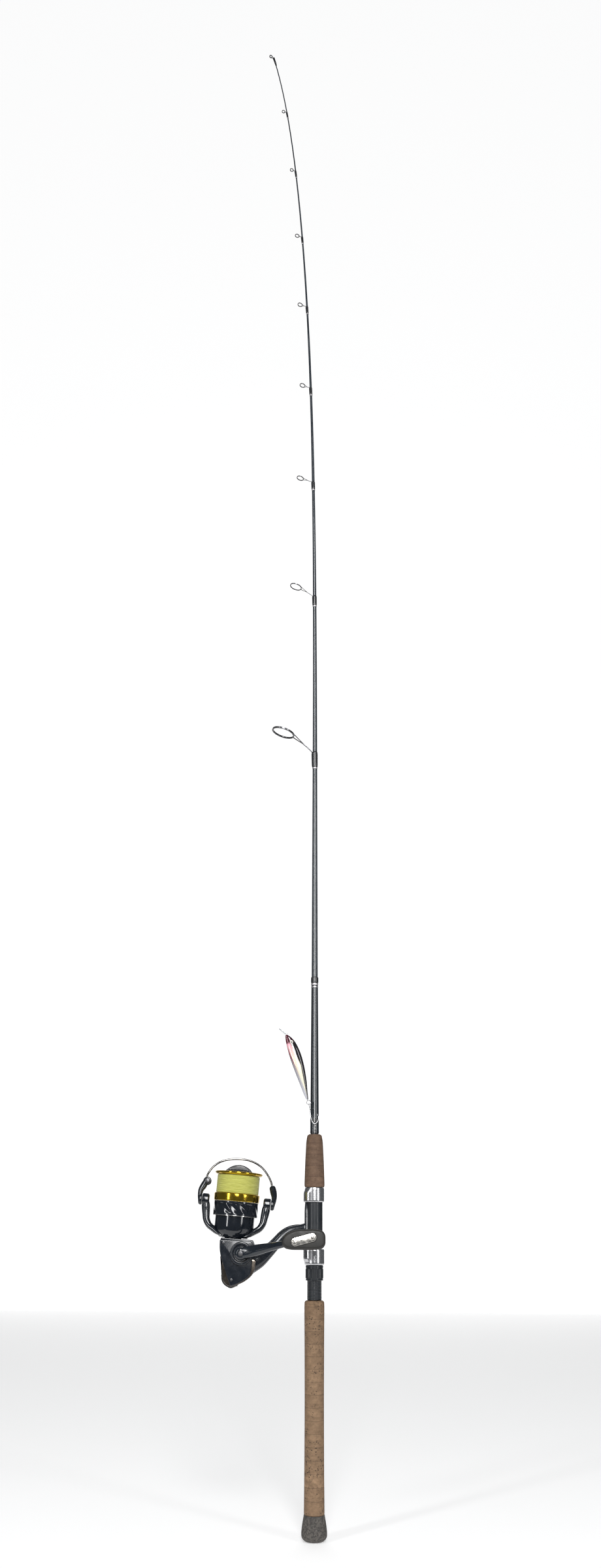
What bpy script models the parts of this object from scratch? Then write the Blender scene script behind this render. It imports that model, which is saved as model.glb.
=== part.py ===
"""A one-piece spinning rod, 2.29 m (7 ft 6 in) long, with a 4000-size spinning reel.

The rod stands along +Z with its butt at the origin. The reel and the line guides are on its -X side, and
the crank handle is on the -Y side. Everything is in metres, written as millimetres times MM.
"""

import math

import bmesh
import bpy
from mathutils import Vector

MM = 0.001

# Rod
ROD_LENGTH = 2282.0
TIP_RADIUS = 0.95
BUTT_RADIUS = 5.77
BOW_START = 850.0
BOW_MAIN = 64.0
BOW_TIP = 12.0
GAP = 0.35

# Heights of the pieces along the rod, from the butt upwards
CAP_TOP = 24.4
GRIP_TOP = 234.7
SEAT_BOTTOM = 235.1
NUT_BOTTOM = 255.6
NUT_TOP = 271.9
LOWER_HOOD_TOP = 289.0
UPPER_HOOD_BOTTOM = 340.2
SEAT_TOP = 356.2
FORE_GRIP_BOTTOM = 356.7
FORE_GRIP_TOP = 416.8
SEAT_RADIUS = 9.5
BARREL_RADIUS = 8.5
FOOT_INNER = 9.85
FOOT_OUTER = 11.9
FOOT_BOTTOM = 277.8
FOOT_TOP = 350.2
FOOT_HALF_WIDTH = 7.0

# Guides: height of the foot, outer diameter of the ring, distance from the blank, rise, length of the foot
GUIDES = (
    (917.0, 32.0, 43.4, 29.0, 22.0),
    (1162.0, 17.5, 27.0, 15.5, 15.0),
    (1360.0, 11.0, 19.5, 7.0, 13.0),
    (1537.0, 9.2, 12.8, 5.0, 13.0),
    (1701.0, 8.4, 11.0, 4.2, 14.0),
    (1850.5, 7.5, 8.2, 3.2, 13.0),
    (2001.0, 6.4, 6.4, 2.6, 14.0),
    (2142.0, 6.0, 5.6, 2.2, 13.0),
)
RING_LEAN = math.radians(17.0)

# Reel: its own frame has +Z along the spool axis and +X towards the rod
REEL_AT = (-96.1, 0.0, 284.0)
REEL_LEAN = math.radians(4.25)
AXLE_X = 11.6
AXLE_Z = 1.1
BODY_HALF_DEPTH = 15.0
BAIL_PIVOT_Z = 56.0
BAIL_LEAN = math.radians(25.0)
CRANK_LENGTH = 73.2
CRANK_ANGLE = math.radians(16.18)
SHAFT_RADIUS = 1.6
SPOOL_LIP_RADIUS = 28.1
MAIN_GEAR_TEETH = 38
PINION_TEETH = 8
AXLE_GEAR_TEETH = 12
OSCILLATING_TEETH = 20

PARTS = bpy.data.collections.new("fishing_rod_and_reel")
CUTTERS = bpy.data.collections.new("cutters")


def clear_scene():
    for old in list(bpy.data.objects):
        bpy.data.objects.remove(old, do_unlink=True)
    bpy.context.scene.collection.children.link(PARTS)
    bpy.context.scene.collection.children.link(CUTTERS)


def material(name, colour, roughness, metallic=0.0):
    made = bpy.data.materials.new(name)
    made.use_nodes = True
    shader = made.node_tree.nodes["Principled BSDF"]
    shader.inputs["Base Color"].default_value = (*colour, 1.0)
    shader.inputs["Roughness"].default_value = roughness
    shader.inputs["Metallic"].default_value = metallic
    return made


def finishes():
    return {
        "blank": material("graphite_blank", (0.012, 0.016, 0.022), 0.18),
        "cork": material("cork", (0.26, 0.16, 0.10), 0.8),
        "black": material("black_plastic", (0.015, 0.017, 0.02), 0.4),
        "gloss": material("gloss_black", (0.008, 0.011, 0.018), 0.15),
        "silver": material("polished_aluminium", (0.75, 0.75, 0.76), 0.2, 1.0),
        "steel": material("stainless_steel", (0.6, 0.6, 0.6), 0.25, 1.0),
        "gold": material("gold_aluminium", (0.72, 0.50, 0.05), 0.2, 1.0),
        "line": material("braided_line", (0.72, 0.74, 0.28), 0.6),
        "brass": material("brass", (0.65, 0.48, 0.2), 0.35, 1.0),
        "rubber": material("butt_composite", (0.05, 0.048, 0.045), 0.8),
        "felt": material("carbon_washer", (0.03, 0.03, 0.03), 0.7),
        "lure": material("painted_lure", (0.7, 0.66, 0.58), 0.2),
        "clear": material("clear_plastic", (0.8, 0.85, 0.9), 0.05),
    }


def empty(name, location, parent=None, turn=(0.0, 0.0, 0.0)):
    made = bpy.data.objects.new(name, None)
    made.location = Vector(location) * MM
    made.rotation_euler = turn
    made.parent = parent
    PARTS.objects.link(made)
    return made


def add(name, mesh, finish=None, parent=None, location=(0.0, 0.0, 0.0), turn=(0.0, 0.0, 0.0)):
    """A new mesh object among the parts, or among the cutters when it has no finish."""
    made = bpy.data.objects.new(name, mesh)
    made.location = Vector(location) * MM
    made.rotation_euler = turn
    made.parent = parent
    if finish is None:
        CUTTERS.objects.link(made)
        made.hide_render = True
        made.display_type = "WIRE"
    else:
        PARTS.objects.link(made)
        mesh.materials.append(finish)
    return made


def smooth(made, angle=35.0):
    made.data.shade_smooth()
    made.data.set_sharp_from_angle(angle=math.radians(angle))


def turned(name, profile, finish=None, parent=None, location=(0, 0, 0), turn=(0, 0, 0), steps=20):
    """A profile of (radius, height) points, in order down its outer side and back up the inner one."""
    mesh = bpy.data.meshes.new(name)
    points = [(radius * MM, 0.0, height * MM) for radius, height in profile]
    closed = min(radius for radius, _ in profile) > 0.0
    edges = [(i, i + 1) for i in range(len(points) - 1)]
    if closed:
        edges.append((len(points) - 1, 0))
    mesh.from_pydata(points, edges, [])
    made = add(name, mesh, finish, parent, location, turn)
    screw = made.modifiers.new("turn", "SCREW")
    screw.steps = steps
    screw.render_steps = steps
    screw.use_merge_vertices = True
    screw.merge_threshold = 0.00001
    screw.use_smooth_shade = False
    return made


def tube_profile(outer, inner, bottom, top):
    return [(outer, top), (outer, bottom), (inner, bottom), (inner, top)]


def wire(name, points, radii, finish=None, parent=None, resolution=2, flatten=1.0):
    """A round bar through points, as a mesh with welded caps, with one radius or one for each point."""
    curve = bpy.data.curves.new(name, "CURVE")
    curve.dimensions = "3D"
    curve.bevel_depth = MM
    curve.bevel_resolution = resolution
    curve.use_fill_caps = True
    spline = curve.splines.new("POLY")
    spline.points.add(len(points) - 1)
    if not isinstance(radii, (list, tuple)):
        radii = [radii] * len(points)
    for point, place, radius in zip(spline.points, points, radii):
        point.co = (*(Vector(place) * MM), 1.0)
        point.radius = radius
    scratch = bpy.data.objects.new(name + "_curve", curve)
    bpy.context.scene.collection.objects.link(scratch)
    bpy.context.view_layer.update()
    graph = bpy.context.evaluated_depsgraph_get()
    mesh = bpy.data.meshes.new_from_object(scratch.evaluated_get(graph))
    bpy.data.objects.remove(scratch)
    mesh.materials.clear()
    shape = bmesh.new()
    shape.from_mesh(mesh)
    bmesh.ops.remove_doubles(shape, verts=shape.verts, dist=0.000001)
    bmesh.ops.scale(shape, vec=(1.0, flatten, 1.0), verts=shape.verts)
    bmesh.ops.recalc_face_normals(shape, faces=shape.faces)
    shape.to_mesh(mesh)
    shape.free()
    mesh.name = name
    return add(name, mesh, finish, parent)


def plate(name, outline, low, high, finish=None, parent=None, bevel=0.0, axis="Y", turn=None):
    """A flat outline given as (x, z) for a plate across Y, or as (x, y) for one across Z."""
    shape = bmesh.new()
    if axis == "Y":
        corners = [shape.verts.new((x * MM, low * MM, z * MM)) for x, z in outline]
        push = (0.0, (high - low) * MM, 0.0)
    else:
        corners = [shape.verts.new((x * MM, y * MM, low * MM)) for x, y in outline]
        push = (0.0, 0.0, (high - low) * MM)
    face = shape.faces.new(corners)
    grown = bmesh.ops.extrude_face_region(shape, geom=[face])["geom"]
    bmesh.ops.translate(shape, vec=push, verts=[v for v in grown if isinstance(v, bmesh.types.BMVert)])
    bmesh.ops.recalc_face_normals(shape, faces=shape.faces)
    mesh = bpy.data.meshes.new(name)
    shape.to_mesh(mesh)
    shape.free()
    made = add(name, mesh, finish, parent, turn=turn or (0.0, 0.0, 0.0))
    if bevel:
        edge = made.modifiers.new("edge", "BEVEL")
        edge.width = bevel * MM
        edge.segments = 2
        edge.limit_method = "ANGLE"
        edge.angle_limit = math.radians(50)
    return made


def rod_drum(name, radius, low, high, finish=None, parent=None, at=(0.0, 0.0), axis="Z", steps=24):
    """A plain cylinder across Z at (x, y), across Y at (x, z) or across X at (y, z)."""
    shape = bmesh.new()
    bmesh.ops.create_cone(
        shape,
        cap_ends=True,
        segments=steps,
        radius1=radius * MM,
        radius2=radius * MM,
        depth=(high - low) * MM,
    )
    mesh = bpy.data.meshes.new(name)
    shape.to_mesh(mesh)
    shape.free()
    middle = (low + high) / 2.0
    if axis == "Z":
        return add(name, mesh, finish, parent, (at[0], at[1], middle))
    if axis == "Y":
        return add(name, mesh, finish, parent, (at[0], middle, at[1]), (math.radians(90), 0.0, 0.0))
    return add(name, mesh, finish, parent, (middle, at[0], at[1]), (0.0, math.radians(90), 0.0))


def join(target, *tools):
    for tool in tools:
        union = target.modifiers.new("join_" + tool.name, "BOOLEAN")
        union.operation = "UNION"
        union.object = tool


def cut(target, *tools):
    for tool in tools:
        difference = target.modifiers.new("cut_" + tool.name, "BOOLEAN")
        difference.operation = "DIFFERENCE"
        difference.object = tool


def gear_outline(teeth, tip, root):
    """Corner points of a simple straight-sided gear about the origin."""
    points = []
    for tooth in range(teeth):
        for share, radius in ((0.0, root), (0.3, root), (0.45, tip), (0.8, tip)):
            angle = math.tau * (tooth + share) / teeth
            points.append((radius * math.cos(angle), radius * math.sin(angle)))
    return points


def blank_radius(z):
    return TIP_RADIUS + (BUTT_RADIUS - TIP_RADIUS) * (1.0 - min(z / ROD_LENGTH, 1.0)) ** 1.5


def bow(z):
    """How far the tip half has set towards the guides at this height."""
    share = max(0.0, (z - BOW_START) / (ROD_LENGTH - BOW_START))
    return BOW_MAIN * share**3 + BOW_TIP * share**12


def bow_slope(z):
    return (bow(z + 0.5) - bow(z - 0.5)) / 1.0


def station(name, z):
    """An empty on the blank's axis at this height, turned along the blank."""
    return empty(name, (-bow(z), 0.0, z), turn=(0.0, -math.atan(bow_slope(z)), 0.0))


def bore(z):
    return blank_radius(z) + GAP


def sleeve(name, outer_points, finish, extra=0.0):
    """A turned sleeve on the blank: its outer (radius, height) points from the top down, bored to fit."""
    top = outer_points[0][1]
    bottom = outer_points[-1][1]
    inner = [(bore(bottom) + extra, bottom), (bore(top) + extra, top)]
    return turned(name, outer_points + inner, finish)


def make_blank(finish):
    straight = [10.0, 120.0, 235.0, 420.0, 600.0, BOW_START]
    steps = 34
    curved = [BOW_START + (ROD_LENGTH - 3.0 - BOW_START) * (i / steps) ** 0.8 for i in range(1, steps + 1)]
    heights = straight + curved
    points = [(-bow(z), 0.0, z) for z in heights]
    made = wire("blank", points, [blank_radius(z) for z in heights], finish)
    smooth(made)


def make_grips(look):
    outer = [(11.3, CAP_TOP), (13.6, 11.5), (14.0, 8.0), (13.6, 4.5), (12.3, 1.7), (9.8, 0.0), (0.0, 0.0)]
    inner = [(0.0, 9.3), (bore(9.3), 9.3), (bore(CAP_TOP), CAP_TOP)]
    butt = turned("butt_cap", inner + outer, look["rubber"], steps=24)
    smooth(butt)
    rear = sleeve(
        "rear_grip",
        [(9.6, GRIP_TOP), (11.2, 233.2), (11.5, 229.0), (11.1, 192.0), (10.7, 127.0), (10.85, 64.0),
         (11.3, CAP_TOP + 0.4)],
        look["cork"],
    )
    smooth(rear)
    fore = sleeve(
        "fore_grip",
        [(7.4, FORE_GRIP_TOP), (9.2, 414.0), (10.1, 408.0), (11.2, 384.0), (11.9, 361.0), (11.9, 358.0),
         (11.2, FORE_GRIP_BOTTOM)],
        look["cork"],
    )
    smooth(fore)


def make_seat(look):
    seat = sleeve(
        "reel_seat",
        [(SEAT_RADIUS, SEAT_TOP), (SEAT_RADIUS, 296.0), (BARREL_RADIUS, 295.0), (BARREL_RADIUS, SEAT_BOTTOM)],
        look["black"],
    )
    smooth(seat)
    make_hood("fixed_hood", UPPER_HOOD_BOTTOM, SEAT_TOP, look["silver"], opens_down=True)
    make_hood("moving_hood", NUT_TOP + 0.35, LOWER_HOOD_TOP, look["silver"], opens_down=False)
    ribs = []
    rows = 3
    for row in range(rows):
        top = NUT_TOP - row * (NUT_TOP - NUT_BOTTOM) / rows
        low = NUT_TOP - (row + 1) * (NUT_TOP - NUT_BOTTOM) / rows
        ribs += [(9.9, top), (10.3, top - 0.6), (10.3, low + 0.6), (9.9, low)]
    nut = turned(
        "locking_nut",
        ribs + [(BARREL_RADIUS + 0.3, NUT_BOTTOM), (BARREL_RADIUS + 0.3, NUT_TOP)],
        look["black"],
    )
    smooth(nut)


def make_hood(name, low, high, finish, opens_down):
    """A hood whose mouth faces the reel foot: round inside, pushed out over the foot on the -X side."""
    shape = bmesh.new()
    bmesh.ops.create_cone(
        shape, cap_ends=True, segments=32, radius1=12.3 * MM, radius2=12.3 * MM, depth=(high - low) * MM
    )
    mouth = -1.0 if opens_down else 1.0
    for vert in shape.verts:
        if vert.co.z * mouth < 0.0:
            vert.co.x *= 11.8 / 12.3
            vert.co.y *= 11.8 / 12.3
        vert.co.x -= 1.1 * MM
    mesh = bpy.data.meshes.new(name)
    shape.to_mesh(mesh)
    shape.free()
    hood = add(name, mesh, finish, location=(0.0, 0.0, (low + high) / 2.0))
    bore_radius = SEAT_RADIUS + 0.3
    bored = rod_drum(name + "_bore", bore_radius, low - 1.0, high + 1.0, steps=32)
    pocket = rod_drum(name + "_pocket", FOOT_OUTER + 0.35, low - 1.0, high + 1.0, steps=32)
    side = pocket_box(name, FOOT_HALF_WIDTH + 0.4, low, high, opens_down)
    keep = pocket.modifiers.new("slot_width", "BOOLEAN")
    keep.operation = "INTERSECT"
    keep.object = side
    cut(hood, bored, pocket)
    smooth(hood, 30.0)


def pocket_box(name, half_width, low, high, opens_down):
    """The block that limits a hood's pocket to the foot's width and to its open end."""
    if opens_down:
        bottom, top = low - 2.0, FOOT_TOP + 0.5
    else:
        bottom, top = FOOT_BOTTOM - 0.5, high + 2.0
    corners = [(-16.0, -half_width), (-2.0, -half_width), (-2.0, half_width), (-16.0, half_width)]
    return plate(name + "_slot", corners, bottom, top, axis="Z")


def make_keeper(look):
    """The small wire loop, bound on the blank just above the fore grip, that a hook hangs on."""
    out = -(blank_radius(425.0) + 0.35)
    points = [(0.0, out - 0.5, 433.5), (0.0, out - 0.6, 430.5), (0.2, out - 2.9, 428.4), (0.9, out - 3.4, 425.5),
              (1.0, out - 2.6, 422.6), (0.4, out - 0.7, 421.0), (0.2, out - 0.6, 418.6)]
    smooth(wire("hook_keeper", points, 0.45, look["steel"]))
    top, low = 607.5, 599.5
    trim = sleeve("winding_trim", [(blank_radius(top) + 0.9, top), (blank_radius(low) + 0.9, low)], look["gloss"])
    smooth(trim)


def make_guides(look):
    for number, (foot_z, diameter, reach, rise, foot_length) in enumerate(GUIDES, 1):
        origin = station(f"guide_station_{number}", foot_z)
        make_guide(number, origin, foot_z, diameter / 2.0, reach, rise, foot_length, look)


def make_guide(number, origin, foot_z, outer, reach, rise, foot_length, look):
    """A single-foot guide: a ring held by two legs that meet in one foot, which is bound to the blank."""
    name = f"guide_frame_{number}"
    thick = max(0.5, outer * 0.055)
    height = max(1.2, outer * 0.14)
    leg = max(0.5, outer * 0.055)
    steps = 24 if outer > 8.0 else 14
    centre = (-reach, 0.0, rise)
    lean = (0.0, RING_LEAN, 0.0)
    frame = turned(
        name, tube_profile(outer, outer - thick, -height / 2.0, height / 2.0), look["gloss"], origin, centre, lean,
        steps,
    )
    seat_out = -(blank_radius(foot_z - foot_length) + leg + 0.25)
    seat_in = -(blank_radius(foot_z) + leg + 0.3)
    side = outer * 0.42
    back = math.sqrt(outer**2 - side**2)
    grip_x = -reach + back * math.cos(RING_LEAN)
    grip_z = rise - back * math.sin(RING_LEAN)
    fork = (seat_in - (reach - outer) * 0.45, 0.0, rise * 0.42)
    for sign, label in ((1.0, "left"), (-1.0, "right")):
        end = (grip_x, sign * side, grip_z)
        start = [(seat_out, 0.0, -foot_length), (seat_in, 0.0, -1.0)] if sign > 0 else []
        bar = wire(f"{name}_{label}_leg", start + [fork, end], leg, None, origin, resolution=1)
        join(frame, bar)
    wall = 0.25 if outer < 5.0 else 0.3
    insert = outer - thick - wall
    depth = max(0.55, outer * 0.07)
    ring = turned(
        f"guide_ring_{number}",
        [(insert, height * 0.3), (insert, -height * 0.3), (insert - depth * 0.5, -height * 0.55),
         (insert - depth, -height * 0.2), (insert - depth, height * 0.2), (insert - depth * 0.5, height * 0.55)],
        look["black"], origin, centre, lean, steps,
    )
    smooth(ring, 60.0)


def make_tip_top(look):
    top = ROD_LENGTH - 2.0
    origin = station("tip_station", top)
    inner = blank_radius(top - 16.0) + 0.3
    frame = turned("tip_top_frame", tube_profile(inner + 0.45, inner, -16.0, -0.4), look["gloss"], origin, steps=12)
    centre = (-4.2, 0.0, 4.0)
    lean = (0.0, math.radians(28.0), 0.0)
    band = turned("tip_top_band", tube_profile(3.0, 2.45, -0.6, 0.6), None, origin, centre, lean, 16)
    legs = []
    for sign, label in ((1.0, "left"), (-1.0, "right")):
        points = [(-1.2, sign * 0.9, -9.0), (-1.3, sign * 1.1, -1.0), (-2.6, sign * 2.2, 2.6)]
        legs.append(wire(f"tip_top_{label}_leg", points, 0.4, None, origin, resolution=1))
    join(frame, *legs, band)
    ring = turned("tip_top_ring", tube_profile(2.2, 1.6, -0.5, 0.5), look["black"], origin, centre, lean, 16)
    smooth(ring, 60.0)


BODY_OUTLINE = (
    (-13.4, 16.2), (-13.3, 4.0), (-11.0, -3.0), (-9.2, -8.0), (-7.0, -28.0), (-4.0, -32.4), (3.0, -35.6),
    (10.4, -32.6), (18.8, -28.2), (25.4, -22.4), (29.4, -15.4), (30.0, -5.0), (28.4, 4.0), (26.4, 11.0),
    (23.6, 16.2),
)


def inset(outline, distance):
    """The outline moved inwards by a wall's thickness. It runs anticlockwise, so inwards is on its left."""
    moved = []
    count = len(outline)
    for i in range(count):
        before = Vector(outline[i - 1])
        here = Vector(outline[i])
        after = Vector(outline[(i + 1) % count])
        first = (here - before).normalized()
        second = (after - here).normalized()
        normal = (Vector((-first.y, first.x)) + Vector((-second.y, second.x))).normalized()
        spread = max(0.5, normal.dot(Vector((-first.y, first.x))))
        moved.append(tuple(here + normal * distance / spread))
    return moved


def make_reel_body(reel, look):
    body = plate("reel_body", BODY_OUTLINE, -BODY_HALF_DEPTH, BODY_HALF_DEPTH, look["gloss"], reel, bevel=2.0)
    stem_route = [(24.0, 0.0, -8.0), (32.0, 0.0, -2.5), (41.0, 0.0, 4.5), (50.0, 0.0, 14.0), (57.0, 0.0, 22.5),
                  (63.0, 0.0, 28.0), (69.0, 0.0, 31.0), (76.0, 0.0, 32.6), (83.4, 0.0, 33.4)]
    stem_radii = [12.0, 11.0, 8.6, 6.6, 5.4, 5.0, 4.9, 5.2, 6.4]
    stem = wire("stem", stem_route, stem_radii, None, reel, resolution=3, flatten=0.85)
    collar = rod_drum("collar", 10.0, 10.0, 20.5, None, reel)
    foot = rod_drum("foot", FOOT_OUTER, FOOT_BOTTOM, FOOT_TOP, steps=48)
    corners = [(-16.0, -FOOT_HALF_WIDTH), (-5.0, -FOOT_HALF_WIDTH), (-5.0, FOOT_HALF_WIDTH),
               (-16.0, FOOT_HALF_WIDTH)]
    slab = plate("foot_slab", corners, FOOT_BOTTOM - 1.0, FOOT_TOP + 1.0, axis="Z")
    keep = foot.modifiers.new("foot_width", "BOOLEAN")
    keep.operation = "INTERSECT"
    keep.object = slab
    join(body, stem, collar, foot)
    seat_room = rod_drum("seat_room", FOOT_INNER, 200.0, 400.0, steps=48)
    hollow = plate("gear_chamber", inset(BODY_OUTLINE, 1.5), -BODY_HALF_DEPTH - 1.0, 13.0, None, reel)
    bearing_room = rod_drum("pinion_bearing_room", 7.35, 15.6, 21.5, None, reel)
    pinion_hole = rod_drum("pinion_hole", 4.4, 12.0, 18.0, None, reel)
    axle_hole = rod_drum("axle_hole", 7.35, 9.0, 16.5, None, reel, (AXLE_X, AXLE_Z), "Y")
    cut(body, hollow, bearing_room, pinion_hole, axle_hole, seat_room)
    smooth(body, 30.0)


def make_reel_covers(reel, look):
    outline = [(-14.2, 14.0), (-13.6, 4.2), (-11.0, -5.0), (-7.2, -13.0), (-1.6, -25.6), (2.6, -34.4),
               (6.6, -33.2), (11.0, -31.2), (18.4, -26.8), (24.0, -21.6), (25.2, -16.0), (25.2, -3.0),
               (25.6, 4.0), (25.0, 10.6), (23.0, 14.8)]
    cover = plate("side_cover", BODY_OUTLINE, -16.3, -BODY_HALF_DEPTH - 0.35, look["gloss"], reel)
    raised = plate("cover_panel", outline, -17.4, -16.0, None, reel)
    boss = rod_drum("axle_boss", 12.2, -21.5, -15.6, None, reel, (AXLE_X, AXLE_Z), "Y", 32)
    join(cover, raised, boss)
    bearing_room = rod_drum("near_bearing_room", 7.3, -20.0, -14.0, None, reel, (AXLE_X, AXLE_Z), "Y")
    hole = rod_drum("near_axle_hole", 4.5, -23.0, -14.0, None, reel, (AXLE_X, AXLE_Z), "Y")
    cut(cover, bearing_room, hole)
    smooth(cover, 30.0)
    outer = inset(BODY_OUTLINE, -1.45)[2:8]
    inner = inset(BODY_OUTLINE, -0.35)[2:8]
    guard = plate("rear_guard", outer + inner[::-1], -14.2, 14.2, look["steel"], reel)
    smooth(guard, 30.0)
    cap_profile = [(0.0, 19.0), (5.0, 18.7), (8.0, 17.2), (8.4, BODY_HALF_DEPTH + 0.35), (0.0, BODY_HALF_DEPTH + 0.35)]
    place = (AXLE_X, 0.0, AXLE_Z)
    cap = turned("axle_cap", cap_profile, look["gloss"], reel, place, (math.radians(-90), 0.0, 0.0))
    smooth(cap, 30.0)


def make_drive(reel, look):
    """The main gear on its hollow axle, the bearings, the oscillating gear and the pinion."""
    axle = empty("handle_axis", (AXLE_X, 0.0, AXLE_Z), reel)
    across = (math.radians(-90), 0.0, 0.0)
    gear = turned(
        "drive_gear",
        [(0.0, 12.6), (4.0, 12.6), (4.0, 7.2), (13.5, 7.2), (13.5, 4.9), (4.0, 4.9), (4.0, -21.8), (0.0, -21.8)],
        look["brass"], axle, turn=across,
    )
    crown = []
    for tooth in range(MAIN_GEAR_TEETH):
        angle = math.tau * tooth / MAIN_GEAR_TEETH
        crown.append((angle, 11.0, 13.2))
    ring = crown_teeth("drive_gear_teeth", crown, 4.1, 5.2, axle)
    small = plate(
        "axle_gear", gear_outline(AXLE_GEAR_TEETH, 4.95, 4.3), -6.2, -4.4, None, axle)
    join(gear, ring, small)
    smooth(gear, 30.0)
    for name, low, high in (("axle_bearing_near", -19.6, -15.9), ("axle_bearing_far", 9.4, 12.7)):
        bearing(name, low, high, axle, across, look["steel"])
    bearing("pinion_bearing", 16.0, 19.3, reel, (0.0, 0.0, 0.0), look["steel"])
    clutch = turned("roller_clutch", tube_profile(9.4, 4.3, 20.85, 26.0), look["steel"], reel)
    smooth(clutch)
    pivot = empty("oscillating_axis", (6.4, 0.0, -11.74), reel)
    wheel = plate("oscillating_gear", gear_outline(OSCILLATING_TEETH, 8.45, 7.7), -6.2, -4.4, look["brass"], pivot)
    pin = rod_drum("oscillating_pin", 1.2, -5.0, -3.8, None, pivot, (5.8, 0.0), "Y", 12)
    post = rod_drum("oscillating_post", 1.6, -9.5, -5.5, None, pivot, (0.0, 0.0), "Y", 12)
    join(wheel, pin, post)


def crown_teeth(name, teeth, low, high, parent):
    """A ring of small wedge teeth on the gear's face, made as one spoked band."""
    step = math.tau / len(teeth)
    shape = bmesh.new()
    inner_low, inner_high, outer_low, outer_high = [], [], [], []
    for angle, inside, outside in teeth:
        for share, lift in ((0.0, 0.0), (0.5, 1.0)):
            turn = angle + share * step
            face = high - (high - low) * lift
            for store, radius, y in (
                (inner_low, inside, face), (inner_high, inside, high + 0.4),
                (outer_low, outside, face), (outer_high, outside, high + 0.4),
            ):
                store.append(shape.verts.new((radius * math.cos(turn) * MM, y * MM, radius * math.sin(turn) * MM)))
    count = len(inner_low)
    for i in range(count):
        k = (i + 1) % count
        for a, b in (
            (inner_low, outer_low), (outer_low, outer_high), (outer_high, inner_high), (inner_high, inner_low),
        ):
            shape.faces.new((a[i], b[i], b[k], a[k]))
    bmesh.ops.recalc_face_normals(shape, faces=shape.faces)
    mesh = bpy.data.meshes.new(name)
    shape.to_mesh(mesh)
    shape.free()
    return add(name, mesh, None, parent)


def bearing(name, low, high, parent, turn, finish):
    made = turned(name, tube_profile(7.0, 4.35, low, high), finish, parent, turn=turn)
    smooth(made)


def make_rotor(reel, look):
    spin = empty("rotor_axis", (0.0, 0.0, 0.0), reel)
    profile = [
        (23.2, 48.8), (23.2, 37.0), (22.8, 25.0), (20.6, 20.8), (16.6, 16.8),
        (15.0, 16.8), (18.6, 21.4), (20.8, 25.0), (20.9, 26.5), (4.1, 26.5), (4.1, 29.4), (21.8, 29.4), (21.8, 48.8),
    ]
    rotor = turned("rotor", profile, look["gloss"], spin, steps=32)
    for sign, label in ((1.0, "rod_side"), (-1.0, "outer_side")):
        route = [(19.6, 22.4), (24.4, 24.2), (29.5, 28.6), (33.1, 34.6), (34.5, 43.0), (35.2, 50.0), (36.2, 56.0)]
        points = [(sign * x, 0.0, z) for x, z in route]
        arm = wire(f"rotor_arm_{label}", points, [2.2, 3.3, 3.9, 4.2, 4.6, 4.8, 4.0], None, spin, flatten=1.4)
        low, high = sorted((sign * 31.8, sign * 40.3))
        boss = rod_drum(f"rotor_boss_{label}", 6.6, low, high, None, spin, (0.0, BAIL_PIVOT_Z), "X", 20)
        join(rotor, arm, boss)
    smooth(rotor, 30.0)
    pinion = turned("pinion", tube_profile(3.6, 1.95, 12.0, 33.2), look["brass"], spin, steps=20)
    teeth = plate("pinion_teeth", gear_outline(PINION_TEETH, 3.6, 2.9), 5.6, 12.4, None, spin, axis="Z")
    clear = rod_drum("pinion_bore", 1.95, 4.0, 13.0, None, spin, steps=20)
    cut(teeth, clear)
    join(pinion, teeth)
    smooth(pinion, 30.0)
    nut = rod_drum("rotor_nut", 7.0, 29.8, 32.8, look["steel"], spin, steps=6)
    hole = rod_drum("rotor_nut_hole", 3.95, 28.0, 34.0, None, spin)
    cut(nut, hole)
    return spin


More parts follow.
